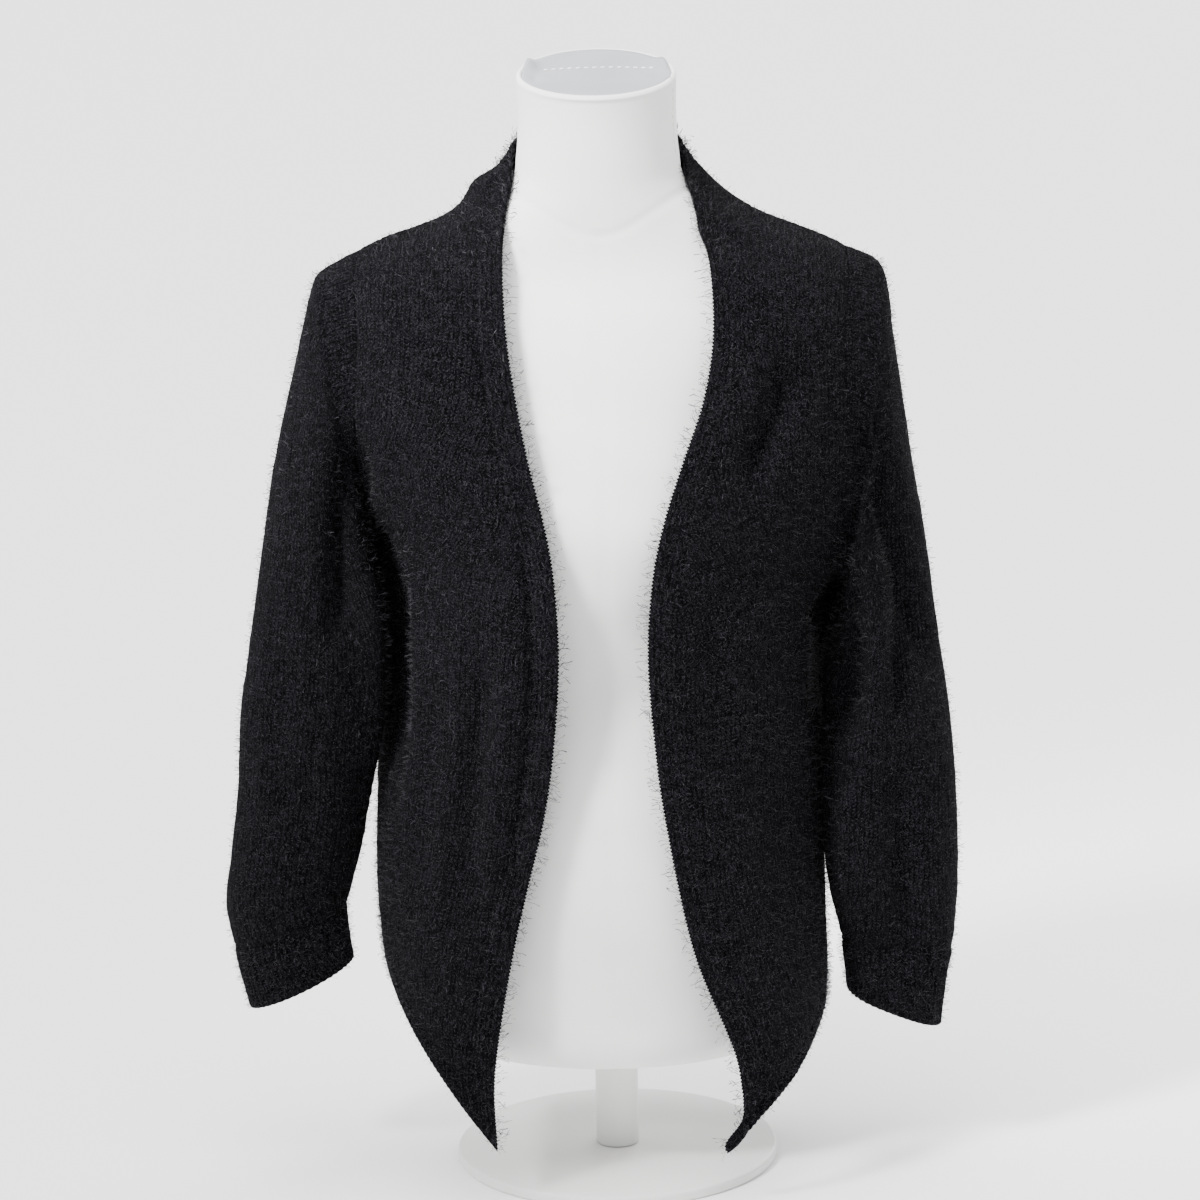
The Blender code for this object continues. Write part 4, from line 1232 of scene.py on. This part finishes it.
@dataclass
class NapMaker:
    """Grows loose fibres out of a knitted skin with Geometry Nodes."""

    finish: bpy.types.Material
    width: float = 0.22
    lean: float = 0.9
    curl_share: float = 0.35
    segments: int = 4
    tree: bpy.types.NodeTree | None = None

    def build_tree(self) -> bpy.types.NodeTree:
        """The node tree: points on the skin, a bent ribbon on each, then a curl by its height."""
        tree = geometry_tree("loose_fibres", {
            "Skin": "Geometry", "Per Square Metre": "Float", "Length": "Float", "Width": "Float",
            "Lean": "Float", "Curl": "Float", "Seed": "Int", "Finish": "Material"}, "Fibres")
        given = add_node(tree, "NodeGroupInput").outputs
        scatter = add_node(tree, "GeometryNodeDistributePointsOnFaces", {"distribute_method": "RANDOM"},
                           {"Mesh": given["Skin"], "Density": given["Per Square Metre"],
                            "Seed": given["Seed"]})
        line = add_node(tree, "GeometryNodeMeshLine", {"mode": "END_POINTS", "Count": self.segments + 1,
                                                       "Start Location": (0, 0, 0), "Offset": (0, 0, 1)})
        curve = add_node(tree, "GeometryNodeMeshToCurve", links={0: line.outputs[0]})
        along = add_node(tree, "GeometryNodeSplineParameter")
        taper = add_node(tree, MATH, {"operation": "SUBTRACT", 0: 1.0},
                         {1: along.outputs["Factor"]})
        thin = add_node(tree, "GeometryNodeSetCurveRadius", links={"Curve": curve.outputs[0],
                                                                   "Radius": taper.outputs[0]})
        kept = add_node(tree, "GeometryNodeStoreNamedAttribute",
                        {"data_type": "FLOAT", "domain": "POINT", "Name": "height"},
                        {"Geometry": thin.outputs[0], "Value": along.outputs["Factor"]})
        half = add_node(tree, "ShaderNodeCombineXYZ", links={0: given["Width"]})
        other = add_node(tree, "ShaderNodeVectorMath", {"operation": "SCALE", "Scale": -1.0},
                         {0: half.outputs[0]})
        profile = add_node(tree, "GeometryNodeCurvePrimitiveLine", links={"Start": other.outputs[0],
                                                                          "End": half.outputs[0]})
        ribbon = add_node(tree, "GeometryNodeCurveToMesh", links={"Curve": kept.outputs[0],
                                                                  "Profile Curve": profile.outputs[0]})
        stray = add_node(tree, "FunctionNodeRandomValue",
                         {"data_type": "FLOAT_VECTOR", 0: (-1, -1, -1), 1: (1, 1, 1)},
                         {"Seed": given["Seed"]})
        tilt = add_node(tree, "ShaderNodeVectorMath", {"operation": "SCALE"},
                        {0: stray.outputs[0], "Scale": given["Lean"]})
        way = add_node(tree, "ShaderNodeVectorMath", {"operation": "ADD"},
                       {0: scatter.outputs["Normal"], 1: tilt.outputs[0]})
        aim = add_node(tree, "FunctionNodeAlignRotationToVector", {"axis": "Z"}, {"Vector": way.outputs[0]})
        spread = add_node(tree, "FunctionNodeRandomValue", {"data_type": "FLOAT", 2: 0.35, 3: 1.3},
                          {"Seed": given["Seed"]})
        tall = add_node(tree, MATH, {"operation": "MULTIPLY"},
                        {0: spread.outputs[1], 1: given["Length"]})
        size = add_node(tree, "ShaderNodeCombineXYZ", {0: 1.0, 1: 1.0}, {2: tall.outputs[0]})
        grown = add_node(tree, "GeometryNodeInstanceOnPoints", links={
            "Points": scatter.outputs["Points"], "Instance": ribbon.outputs[0],
            "Rotation": aim.outputs[0], "Scale": size.outputs[0]})
        real = add_node(tree, "GeometryNodeRealizeInstances", links={0: grown.outputs[0]})
        height = add_node(tree, "GeometryNodeInputNamedAttribute", {"data_type": "FLOAT", "Name": "height"})
        place = add_node(tree, "GeometryNodeInputPosition")
        swirl = add_node(tree, "ShaderNodeTexNoise", {"Scale": 300.0, "Detail": 2.0},
                         {"Vector": place.outputs[0]})
        middle = add_node(tree, "ShaderNodeVectorMath", {"operation": "SUBTRACT", 1: (0.5, 0.5, 0.5)},
                          {0: swirl.outputs["Color"]})
        bent = add_node(tree, MATH, {"operation": "MULTIPLY"},
                        {0: height.outputs[0], 1: given["Curl"]})
        twice = add_node(tree, MATH, {"operation": "MULTIPLY", 1: 4.0}, {0: bent.outputs[0]})
        offset = add_node(tree, "ShaderNodeVectorMath", {"operation": "SCALE"},
                          {0: middle.outputs[0], "Scale": twice.outputs[0]})
        curled = add_node(tree, "GeometryNodeSetPosition", links={"Geometry": real.outputs[0],
                                                                  "Offset": offset.outputs[0]})
        dressed = add_node(tree, "GeometryNodeSetMaterial", links={"Geometry": curled.outputs[0],
                                                                   "Material": given["Finish"]})
        add_node(tree, "NodeGroupOutput", links={0: dressed.outputs[0]})
        return tree

    def grow(self, name: str, skin: bpy.types.Object, count: int, length: float,
             seed: int) -> bpy.types.Object:
        """Makes one piece's nap.

        Args:
            name: the new piece's name.
            skin: the knitted surface that it grows from, used up.
            count: about how many fibres.
            length: a fibre's length in millimetres.
            seed: fixes the random draw.

        Returns:
            The fibres as one plain mesh.
        """
        if self.tree is None:
            self.tree = self.build_tree()
        area = sum(polygon.area for polygon in skin.data.polygons)
        skin.name = name
        run_nodes(skin, self.tree, {
            "Per Square Metre": count / area, "Length": length * MM, "Width": self.width * MM / 2,
            "Lean": self.lean, "Curl": self.curl_share * length * MM, "Seed": seed,
            "Finish": self.finish})
        return skin


@dataclass
class Cardigan:
    """The whole garment, piece by piece."""

    garment: Garment = field(default_factory=Garment)
    sleeve_finer: int = 4
    points_per_rib: int = 8
    cuff_ribs: int = 44
    hem_rib_pitch: float = 4.4
    band_ribs: int = 5
    band_step: float = 1.3
    band_finer: int = 2
    nap_length: float = 4.2
    edge_nap_length: float = 5.0
    curl_count: int = 1500
    curl_length: float = 8.5
    curl_strip: float = 1.5
    first_seed: int = 20
    curl_seed: int = 61
    panel_knit: bpy.types.Material | None = None
    rib_knit: bpy.types.Material | None = None
    band_knit: bpy.types.Material | None = None
    nap: NapMaker | None = None
    pieces: list[bpy.types.Object] = field(default_factory=list)

    def dress(self) -> None:
        """Makes the garment's finishes."""
        self.panel_knit = BrushedKnit("brushed_wool_knit", "#060507", 0.95).material()
        self.rib_knit = BrushedKnit("wool_rib_knit", "#060507", 0.92, stitch_depth=0.35).material()
        self.band_knit = BrushedKnit("wool_band_knit", "#09080b", 0.93, wale=4.0).material()
        # The nap's grey colour is painted sheen on the loose fibres.
        self.nap = NapMaker(Nap("loose_wool_fibres", "#2c2a30", 0.6).material())

    def panel(self, node: str, surface: Surface, grain: float,
              seam_depths: tuple[float, float, float, float]) -> None:
        """Makes one panel and its nap."""
        maker = KnitPanel(name=node + "_knit", surface=surface, finish=self.panel_knit, grain=grain,
                          seam_depths=seam_depths)
        self.finish_piece(maker, node, self.nap_length)

    def finish_piece(self, maker: KnitPanel | RibPiece, node: str, fibre: float,
                     fringe: tuple[bpy.types.Object, ...] = ()) -> None:
        """Builds a piece with its nap and hides the CAD node that it stands for.

        Args:
            maker: what builds the piece.
            node: the CAD node that it stands for.
            fibre: a fibre's length in millimetres.
            fringe: fibres that already grow off its edge.
        """
        piece = maker.build()
        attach(piece, "root")
        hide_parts(node)
        shape = CUTS[node]
        seed = self.first_seed + len(self.pieces)
        nap = self.nap.grow(node + "_nap", maker.skin, shape.fibres, fibre, seed)
        fibres = [nap, *fringe]
        for loose in fibres:
            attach(loose, "root")
            LOG.info("%s: %d faces", loose.name, len(loose.data.polygons))
        LOG.info("%s: %d faces", piece.name, len(piece.data.polygons))
        self.pieces += [piece, *fibres]

    def build_panels(self) -> None:
        """Both fronts, the back and both sleeves."""
        garment = self.garment
        surfaces = garment.surfaces
        rows = slice(None, garment.hem_start + 1)
        right = surfaces["front_right"].part(rows, slice(None, garment.panel_strips + 1))
        left = surfaces["front_left"].part(rows, slice(garment.band_strips, None))
        self.panel("front_right", right, 0.0, (0.3, 0.7, 0.3, 0.9))
        self.panel("front_left", left, 1.0, (0.3, 0.7, 0.9, 0.3))
        self.panel("back", surfaces["back"].part(rows), 0.5, (0.3, 0.7, 0.3, 0.3))
        for side in ("right", "left"):
            whole = surfaces["sleeve_" + side]
            rows_down = slice(None, garment.sleeve_rows + 1)
            points = finer_round(whole.points[rows_down], self.sleeve_finer)
            normals = unit(finer_round(whole.normals[rows_down], self.sleeve_finer))
            # The strip is cut open along the underarm, where its sewn seam lies
            shut = Surface(np.concatenate([points, points[:, :1]], axis=1),
                           np.concatenate([normals, normals[:, :1]], axis=1))
            self.panel("sleeve_" + side, shut, 0.5, (0.3, 0.7, 0.4, 0.4))

    def build_ribs(self) -> None:
        """Cuffs and hems."""
        garment = self.garment
        for side in ("right", "left"):
            whole = garment.surfaces["sleeve_" + side]
            rows = whole.points[garment.sleeve_rows:]
            points = finer_round(rows, self.points_per_rib * self.cuff_ribs / rows.shape[1])
            cuff = Surface(points, grid_normals(points, True), True)
            maker = RibPiece(name=f"cuff_{side}_rib", surface=cuff, finish=self.rib_knit,
                             ribs=self.cuff_ribs, rib_height=0.55)
            self.finish_piece(maker, "cuff_" + side, self.nap_length)
        hem = slice(garment.hem_start, None)
        stretches = {
            "hem_right": garment.surfaces["front_right"].part(hem, slice(None, garment.panel_strips + 1)),
            "hem_left": garment.surfaces["front_left"].part(hem, slice(garment.band_strips, None)),
            "hem_back": garment.surfaces["back"].part(hem),
        }
        for node, surface in stretches.items():
            width = np.mean([lengths_along(row)[-1] for row in surface.points])
            ribs = round(width / self.hem_rib_pitch)
            fine = self.finer_columns(surface, self.points_per_rib * ribs)
            maker = RibPiece(name=node + "_rib", surface=fine, finish=self.rib_knit, ribs=ribs,
                             rib_height=0.45, seam_columns=(True, True))
            self.finish_piece(maker, node, self.nap_length)

    def finer_columns(self, surface: Surface, count: int) -> Surface:
        """A surface with its columns evenly spaced along each row."""
        points, normals = [], []
        for row, ways in zip(surface.points, surface.normals):
            places = np.linspace(0, lengths_along(row)[-1], count + 1)
            points.append(at_lengths(row, places))
            normals.append(at_lengths(row, places, ways))
        return Surface(np.stack(points), unit(np.stack(normals)))

    def edge_curls(self, points: Grid, normals: Grid) -> bpy.types.Object:
        """Long curled fibres that lie off the band's free edge, over the form.

        Args:
            points: the band's rows of points, with its free edge first.
            normals: the way out at each.

        Returns:
            The fibres as one plain mesh.
        """
        edge = points[:, 0]
        inner = edge - self.curl_strip * normals[:, 0]
        rows = len(edge)
        faces = [(i, i + 1, rows + i + 1, rows + i) for i in range(rows - 1)]
        away = unit(edge - points[:, 1])
        corner = np.cross(edge[1] - edge[0], inner[1] - edge[0])
        if corner @ away[0] < 0:
            faces = [face[::-1] for face in faces]
        strip = add_mesh("edge_strip", np.concatenate([edge, inner]), faces, self.band_knit)
        return self.nap.grow("front_band_curls", strip, self.curl_count, self.curl_length,
                             self.curl_seed)

    def build_band(self) -> None:
        """The band up one front, round the back neck and down the other."""
        garment = self.garment
        surfaces = garment.surfaces
        strips = garment.band_strips
        joined = []
        for kind in ("points", "normals"):
            right = getattr(surfaces["front_right"], kind)[::-1, garment.panel_strips:]
            neck = getattr(surfaces["neck"], kind).transpose(1, 0, 2)[::-1, ::-1][1:-1]
            left = getattr(surfaces["front_left"], kind)[:, strips::-1]
            joined.append(np.concatenate([right, neck, left])[:, ::-1])
        points, normals = joined
        middle = lengths_along(points[:, strips // 2])
        places = np.linspace(0, middle[-1], round(middle[-1] / self.band_step) + 1)
        points = smooth_through(middle, points, places).transpose(1, 0, 2)
        normals = unit(smooth_through(middle, normals, places)).transpose(1, 0, 2)
        keys = np.arange(strips + 1)
        across = np.arange(self.band_finer * strips + 1) / self.band_finer
        points = smooth_through(keys, points, across).transpose(1, 0, 2)
        normals = unit(smooth_through(keys, normals, across)).transpose(1, 0, 2)
        maker = RibPiece(name="front_band_rib", surface=Surface(points, normals), finish=self.band_knit,
                         ribs=self.band_ribs, rib_height=0.3, roll=0.9, scallop=0.7,
                         seam_rows=(False, False), seam_columns=(False, True))
        curls = self.edge_curls(points, normals)
        self.finish_piece(maker, "front_band", self.edge_nap_length, (curls,))

    def build(self) -> None:
        """Builds every piece."""
        self.dress()
        self.garment.loft()
        self.build_panels()
        self.build_ribs()
        self.build_band()


@dataclass
class DressForm:
    """The covered torso, with its neck's top drawn in along a sewn line."""

    sides: int = 180
    neck_tilt: float = 15.0
    tilt_from: float = 745.0
    rim: float = 3.0
    dish: float = 6.0
    tuck: float = 5.0
    stitch_pitch: float = 5.6
    stitch_length: float = 3.6
    stitch_radius: float = 0.7
    sew_line: float = 0.52
    sewn_from: float = -0.66
    sewn_to: float = 0.73
    socket: float = 26.0
    top_wall: float = 3.0
    front_seam: Dip = Dip(0.5, 1.4)
    front_seam_top: float = 700.0
    collar_seam: Dip = Dip(1.1, 2.6)
    collar_height: float = 716.0
    collar_dip: Dip = Dip(20, 40)
    collar_half_width: float = 66.0
    side_seam: Dip = Dip(0.8, 1.6)
    side_seam_foot: float = 735.0
    side_seam_y: float = -14.0
    side_row: tuple[float, float] = (797.0, 752.0)
    ring_steps: tuple[tuple[float, float, float], ...] = (
        (95, 101, 1.5), (101, 640, 5), (640, 735, 2.5), (735, 804, 4))

    @property
    def top_sizes(self) -> Grid:
        """Half width, front depth and back depth of the form's top ring."""
        return np.array(astuple(FORM[-1])[1:], float)

    def tilt_at(self, height: float) -> float:
        """How far a ring leans forward, in degrees."""
        top = FORM[-1].height
        return self.neck_tilt * min(max((height - self.tilt_from) / (top - self.tilt_from), 0), 1)

    def ring(self, sizes: Grid, height: float, tilt: float) -> Grid:
        """One ring's points. tilt raises its back and lowers its front."""
        angles = np.linspace(0, TURN, self.sides, endpoint=False)
        y = np.where(np.sin(angles) > 0, sizes[2], sizes[1]) * np.sin(angles)
        z = height + y * math.tan(math.radians(tilt))
        return np.stack([sizes[0] * np.cos(angles), y, z], axis=1)

    def seams(self, points: Grid) -> Grid:
        """Depth of the cover's sewn lines and creases at each point."""
        x, y, z = points[..., 0], points[..., 1], points[..., 2]
        front = y < 0
        middle = np.where(front & (z < self.front_seam_top), self.front_seam.at(x), 0.0)
        base = self.collar_height - self.collar_dip.at(x) + 10 * np.abs(x / 60) ** 2
        at_collar = front & (np.abs(x) < self.collar_half_width)
        collar = np.where(at_collar, self.collar_seam.at(z - base), 0.0)
        side = (z > self.side_seam_foot) & (x > 0)
        return middle + collar + np.where(side, self.side_seam.at(y - self.side_seam_y), 0.0)

    def top_height(self, x: Grid, y: Grid) -> Grid:
        """Height of the neck's covered top over its rim.

        Args:
            x: across, from -1 to 1 at the rim.
            y: backwards, from -1 to 1 at the rim.

        Returns:
            Heights in millimetres: a valley that falls to the sewn line, and the tucks at its ends.
        """
        half = np.sqrt(np.clip(1 - x ** 2, 1e-4, 1))
        line = self.sew_line * half
        behind = (half - y) / np.maximum(half - line, 1e-3)
        before = (half + y) / np.maximum(half + line, 1e-3)
        share = np.clip(np.where(y > line, behind, before), 0, 1)
        valley = -self.dish * share ** 0.8 * half ** 0.7
        tucks = 0.0
        for end, height in ((-1, self.tuck), (1, 0.7 * self.tuck)):
            ridge = np.exp(-((x - end * 0.88) / 0.10) ** 2 - ((y - self.sew_line * 0.72) / 0.17) ** 2)
            fold = np.exp(-((x - end * 0.80) / 0.06) ** 2 - ((y + 0.02) / 0.20) ** 2)
            tucks = tucks + height * ridge - 0.5 * height * fold
        return valley + tucks

    def ring_faces(self, rows: int) -> list:
        """Faces that join rings from the lowest up, closed at both ends."""
        count = self.sides
        faces = []
        for i in range(rows - 1):
            for j in range(count):
                k = (j + 1) % count
                faces.append((i * count + j, i * count + k, (i + 1) * count + k, (i + 1) * count + j))
        faces.append(tuple(range(count - 1, -1, -1)))
        faces.append(tuple(range((rows - 1) * count, rows * count)))
        return faces

    def build_top(self, finish: bpy.types.Material) -> bpy.types.Object:
        """The padded disc let into the neck's top, drawn in along its sewn line."""
        inner = self.top_sizes - self.rim
        angles = np.linspace(0, TURN, self.sides, endpoint=False)
        upper = []
        for share in np.linspace(0.985, 0.03, 25):
            ring = self.ring(inner * share, FORM[-1].height, self.neck_tilt)
            ring[:, 2] += self.top_height(share * np.cos(angles), share * np.sin(angles))
            upper.append(ring)
        under = [ring - (0, 0, self.top_wall) for ring in reversed(upper)]
        piece = add_mesh("neck_top_cover", np.concatenate(under + upper),
                         self.ring_faces(len(under) + len(upper)), finish)
        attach(piece, "root")
        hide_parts("neck_cap")
        return piece

    def build_cover(self, finish: bpy.types.Material) -> bpy.types.Object:
        """The torso's cover as one closed skin."""
        levels = np.concatenate([np.arange(*steps) for steps in self.ring_steps])
        rings = [self.ring(sizes, height, self.tilt_at(height))
                 for sizes, height in zip(form_sizes(levels), levels)]
        full = self.top_sizes
        top = FORM[-1].height
        for angle in np.linspace(0, math.pi / 2, 6):
            inset = self.rim * (1 - math.cos(angle))
            rings.append(self.ring(full - inset, top - self.rim * (1 - math.sin(angle)), self.neck_tilt))
        rings.append(self.ring(full - self.rim, top - self.socket, self.neck_tilt))
        grid = np.stack(rings)
        # The rings run upwards, so these normals point into the form
        grid += grid_normals(grid, True) * self.seams(grid)[..., None]
        cover = add_mesh("dress_form_cover", grid.reshape(-1, 3), self.ring_faces(len(rings)), finish)
        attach(cover, "root")
        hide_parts("dress_form")
        return cover

    def sewn_lines(self) -> list[Grid]:
        """The lines that the stitches follow: across the neck's top, and down its side."""
        top = FORM[-1]
        across = np.linspace(self.sewn_from, self.sewn_to, 60)
        behind = self.sew_line * np.sqrt(1 - across ** 2)
        y = behind * (top.back - self.rim)
        rise = y * math.tan(math.radians(self.neck_tilt))
        height = top.height + self.top_height(across, behind) + rise
        line = np.stack([across * (top.half_width - self.rim), y, height + 0.5 * self.stitch_radius],
                        axis=1)
        heights = np.linspace(*self.side_row, 12)
        sizes = form_sizes(heights)
        angle = math.asin(self.side_seam_y / FORM[-2].front)
        side = np.stack([sizes[:, 0] * math.cos(angle), sizes[:, 1] * math.sin(angle), heights], axis=1)
        side[:, 2] += side[:, 1] * np.tan([math.radians(self.tilt_at(height)) for height in heights])
        return [line, side]

    def build_stitches(self, finish: bpy.types.Material) -> bpy.types.Object:
        """The rows of stitches, each a short thread that dips at both ends."""
        lines = self.sewn_lines()
        points = np.concatenate(lines)
        starts = np.cumsum([0] + [len(line) for line in lines])
        edges = [(i, i + 1) for low, high in zip(starts[:-1], starts[1:])
                 for i in range(low, high - 1)]
        data = bpy.data.meshes.new("neck_stitches")
        data.from_pydata((points * MM).tolist(), edges, [])
        piece = add_object("neck_stitches", data)
        run_nodes(piece, self.stitch_tree(), {
            "Pitch": self.stitch_pitch * MM, "Length": self.stitch_length * MM,
            "Radius": self.stitch_radius * MM, "Finish": finish})
        piece.data.shade_smooth()
        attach(piece, "root")
        return piece

    def stitch_tree(self) -> bpy.types.NodeTree:
        """The node tree: the line cut into even steps, with a rounded thread laid along each."""
        tree = geometry_tree("stitch_row", {
            "Line": "Geometry", "Pitch": "Float", "Length": "Float", "Radius": "Float",
            "Finish": "Material"}, "Stitches")
        given = add_node(tree, "NodeGroupInput").outputs
        curve = add_node(tree, "GeometryNodeMeshToCurve", links={0: given["Line"]})
        steps = add_node(tree, "GeometryNodeCurveToPoints", {"mode": "LENGTH"},
                         {"Curve": curve.outputs[0], "Length": given["Pitch"]})
        thread = add_node(tree, "GeometryNodeMeshUVSphere", {"Segments": 10, "Rings": 8, "Radius": 1.0})
        half = add_node(tree, MATH, {"operation": "MULTIPLY", 1: 0.5}, {0: given["Length"]})
        size = add_node(tree, "ShaderNodeCombineXYZ", links={0: given["Radius"], 1: given["Radius"],
                                                             2: half.outputs[0]})
        laid = add_node(tree, "GeometryNodeInstanceOnPoints", links={
            "Points": steps.outputs["Points"], "Instance": thread.outputs[0],
            "Rotation": steps.outputs["Rotation"], "Scale": size.outputs[0]})
        real = add_node(tree, "GeometryNodeRealizeInstances", links={0: laid.outputs[0]})
        dressed = add_node(tree, "GeometryNodeSetMaterial", links={"Geometry": real.outputs[0],
                                                                   "Material": given["Finish"]})
        add_node(tree, "NodeGroupOutput", links={0: dressed.outputs[0]})
        return tree

    def build(self) -> None:
        """Builds the form and its sewing."""
        cover = CoverCloth("cotton_jersey_cover", "#f4f3f2", 0.9).material()
        # The neck's top is the same near-white cover cloth, coloured grey as painted shade.
        top = CoverCloth("cotton_sateen_top", "#a3a5aa", 0.7, shaded="#96989d").material()
        thread = CoverCloth("cotton_thread", "#ffffff", 0.6, thread=0.6).material()
        for piece in (self.build_cover(cover), self.build_top(top), self.build_stitches(thread)):
            LOG.info("%s: %d faces", piece.name, len(piece.data.polygons))


@dataclass
class Stand:
    """The enamelled pole and plate, which keep the frame's own shapes."""

    def build(self) -> None:
        """Gives the frame's nodes their finish."""
        enamel = Enamel("satin_enamel", "#e9e9e7", 0.3).material()
        for node in ("stand_base", "stand_pole"):
            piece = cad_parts[node]
            piece.data.materials.clear()
            piece.data.materials.append(enamel)
            LOG.info("%s: its own shape, enamelled", node)


@dataclass
class Studio:
    """A plain pale floor, soft lights and the camera."""

    target: tuple[float, float, float] = (-0.005, 0.0, 0.424)
    distance: float = 2.8
    elevation: float = 12.0
    roll: float = 1.2
    lens: float = 115.07
    key: float = 760.0
    key_way: tuple[float, float, float] = (-0.58, -0.52, 0.63)
    key_distance: float = 2.3
    key_aim: tuple[float, float, float] = (-0.06, -0.05, 0.61)
    key_cone: float = 24.0
    key_size: float = 0.3
    overhead: float = 6.6
    overhead_way: tuple[float, float, float] = (-0.06, -0.10, 1.0)
    rear: float = 2.2
    rear_way: tuple[float, float, float] = (0.52, 0.74, 0.42)
    sun_spread: float = 60.0
    sky: float = 0.5
    floor_reach: float = 400.0

    def build_camera(self) -> None:
        """Places the camera at the photograph's viewing angle."""
        rise = math.radians(self.elevation)
        turn = math.radians(self.roll)
        out = Vector((0, -math.cos(rise), math.sin(rise)))
        up = Vector((0, math.sin(rise), math.cos(rise)))
        right = Vector((1, 0, 0))
        rolled_right = right * math.cos(turn) - up * math.sin(turn)
        rolled_up = right * math.sin(turn) + up * math.cos(turn)
        data = bpy.data.cameras.new("camera")
        data.lens = self.lens
        data.sensor_width = 36.0
        camera = add_object("camera", data)
        turned = Matrix((rolled_right, rolled_up, out)).transposed().to_4x4()
        camera.matrix_world = Matrix.Translation(Vector(self.target) + out * self.distance) @ turned
        bpy.context.scene.camera = camera

    def add_light(self, name: str, kind: str, way: tuple[float, float, float],
                  strength: float) -> bpy.types.Object:
        """A light that shines on the garment.

        Args:
            name: the light's name.
            kind: SUN, even over the whole floor, or SPOT.
            way: direction from the garment to the light.
            strength: a sun's watts on a square metre that faces it, or a spot's watts.

        Returns:
            The light, turned but not yet moved.
        """
        data = bpy.data.lights.new(name, kind)
        data.energy = strength
        light = add_object(name, data)
        light.rotation_euler = Vector(way).to_track_quat("Z", "Y").to_euler()
        return light

    def light(self) -> None:
        """The key, a soft spot from the wearer's right that fades towards the hem, and two soft suns."""
        key = self.add_light("key", "SPOT", self.key_way, self.key)
        key.data.spot_size = math.radians(self.key_cone)
        key.data.spot_blend = 1.0
        key.data.shadow_soft_size = self.key_size
        key.location = Vector(self.key_aim) + Vector(self.key_way) * self.key_distance
        for name, way, strength in (("overhead", self.overhead_way, self.overhead),
                                    ("rear", self.rear_way, self.rear)):
            sun = self.add_light(name, "SUN", way, strength)
            sun.data.angle = math.radians(self.sun_spread)

    def build(self) -> None:
        """Builds the floor, the lights and the camera."""
        mesh = bmesh.new()
        bmesh.ops.create_grid(mesh, x_segments=1, y_segments=1, size=self.floor_reach)
        data = bpy.data.meshes.new("floor")
        mesh.to_mesh(data)
        mesh.free()
        material = bpy.data.materials.new("pale_floor")
        material.use_nodes = True
        shader = material.node_tree.nodes["Principled BSDF"]
        shader.inputs["Base Color"].default_value = linear("#ffffff")
        shader.inputs["Roughness"].default_value = 0.9
        data.materials.append(material)
        add_object("floor", data)
        world = bpy.data.worlds.new("studio")
        bpy.context.scene.world = world
        world.use_nodes = True
        background = world.node_tree.nodes["Background"]
        background.inputs["Color"].default_value = (1.0, 1.0, 1.0, 1.0)
        background.inputs["Strength"].default_value = self.sky
        self.light()
        self.build_camera()


def main() -> None:
    """Builds the studio and the object's pieces in order."""
    logging.basicConfig(level=logging.INFO, format="%(message)s")
    Studio().build()
    LOG.info("studio built")
    DressForm().build()
    Stand().build()
    Cardigan().build()


if __name__ == "__main__":
    main()
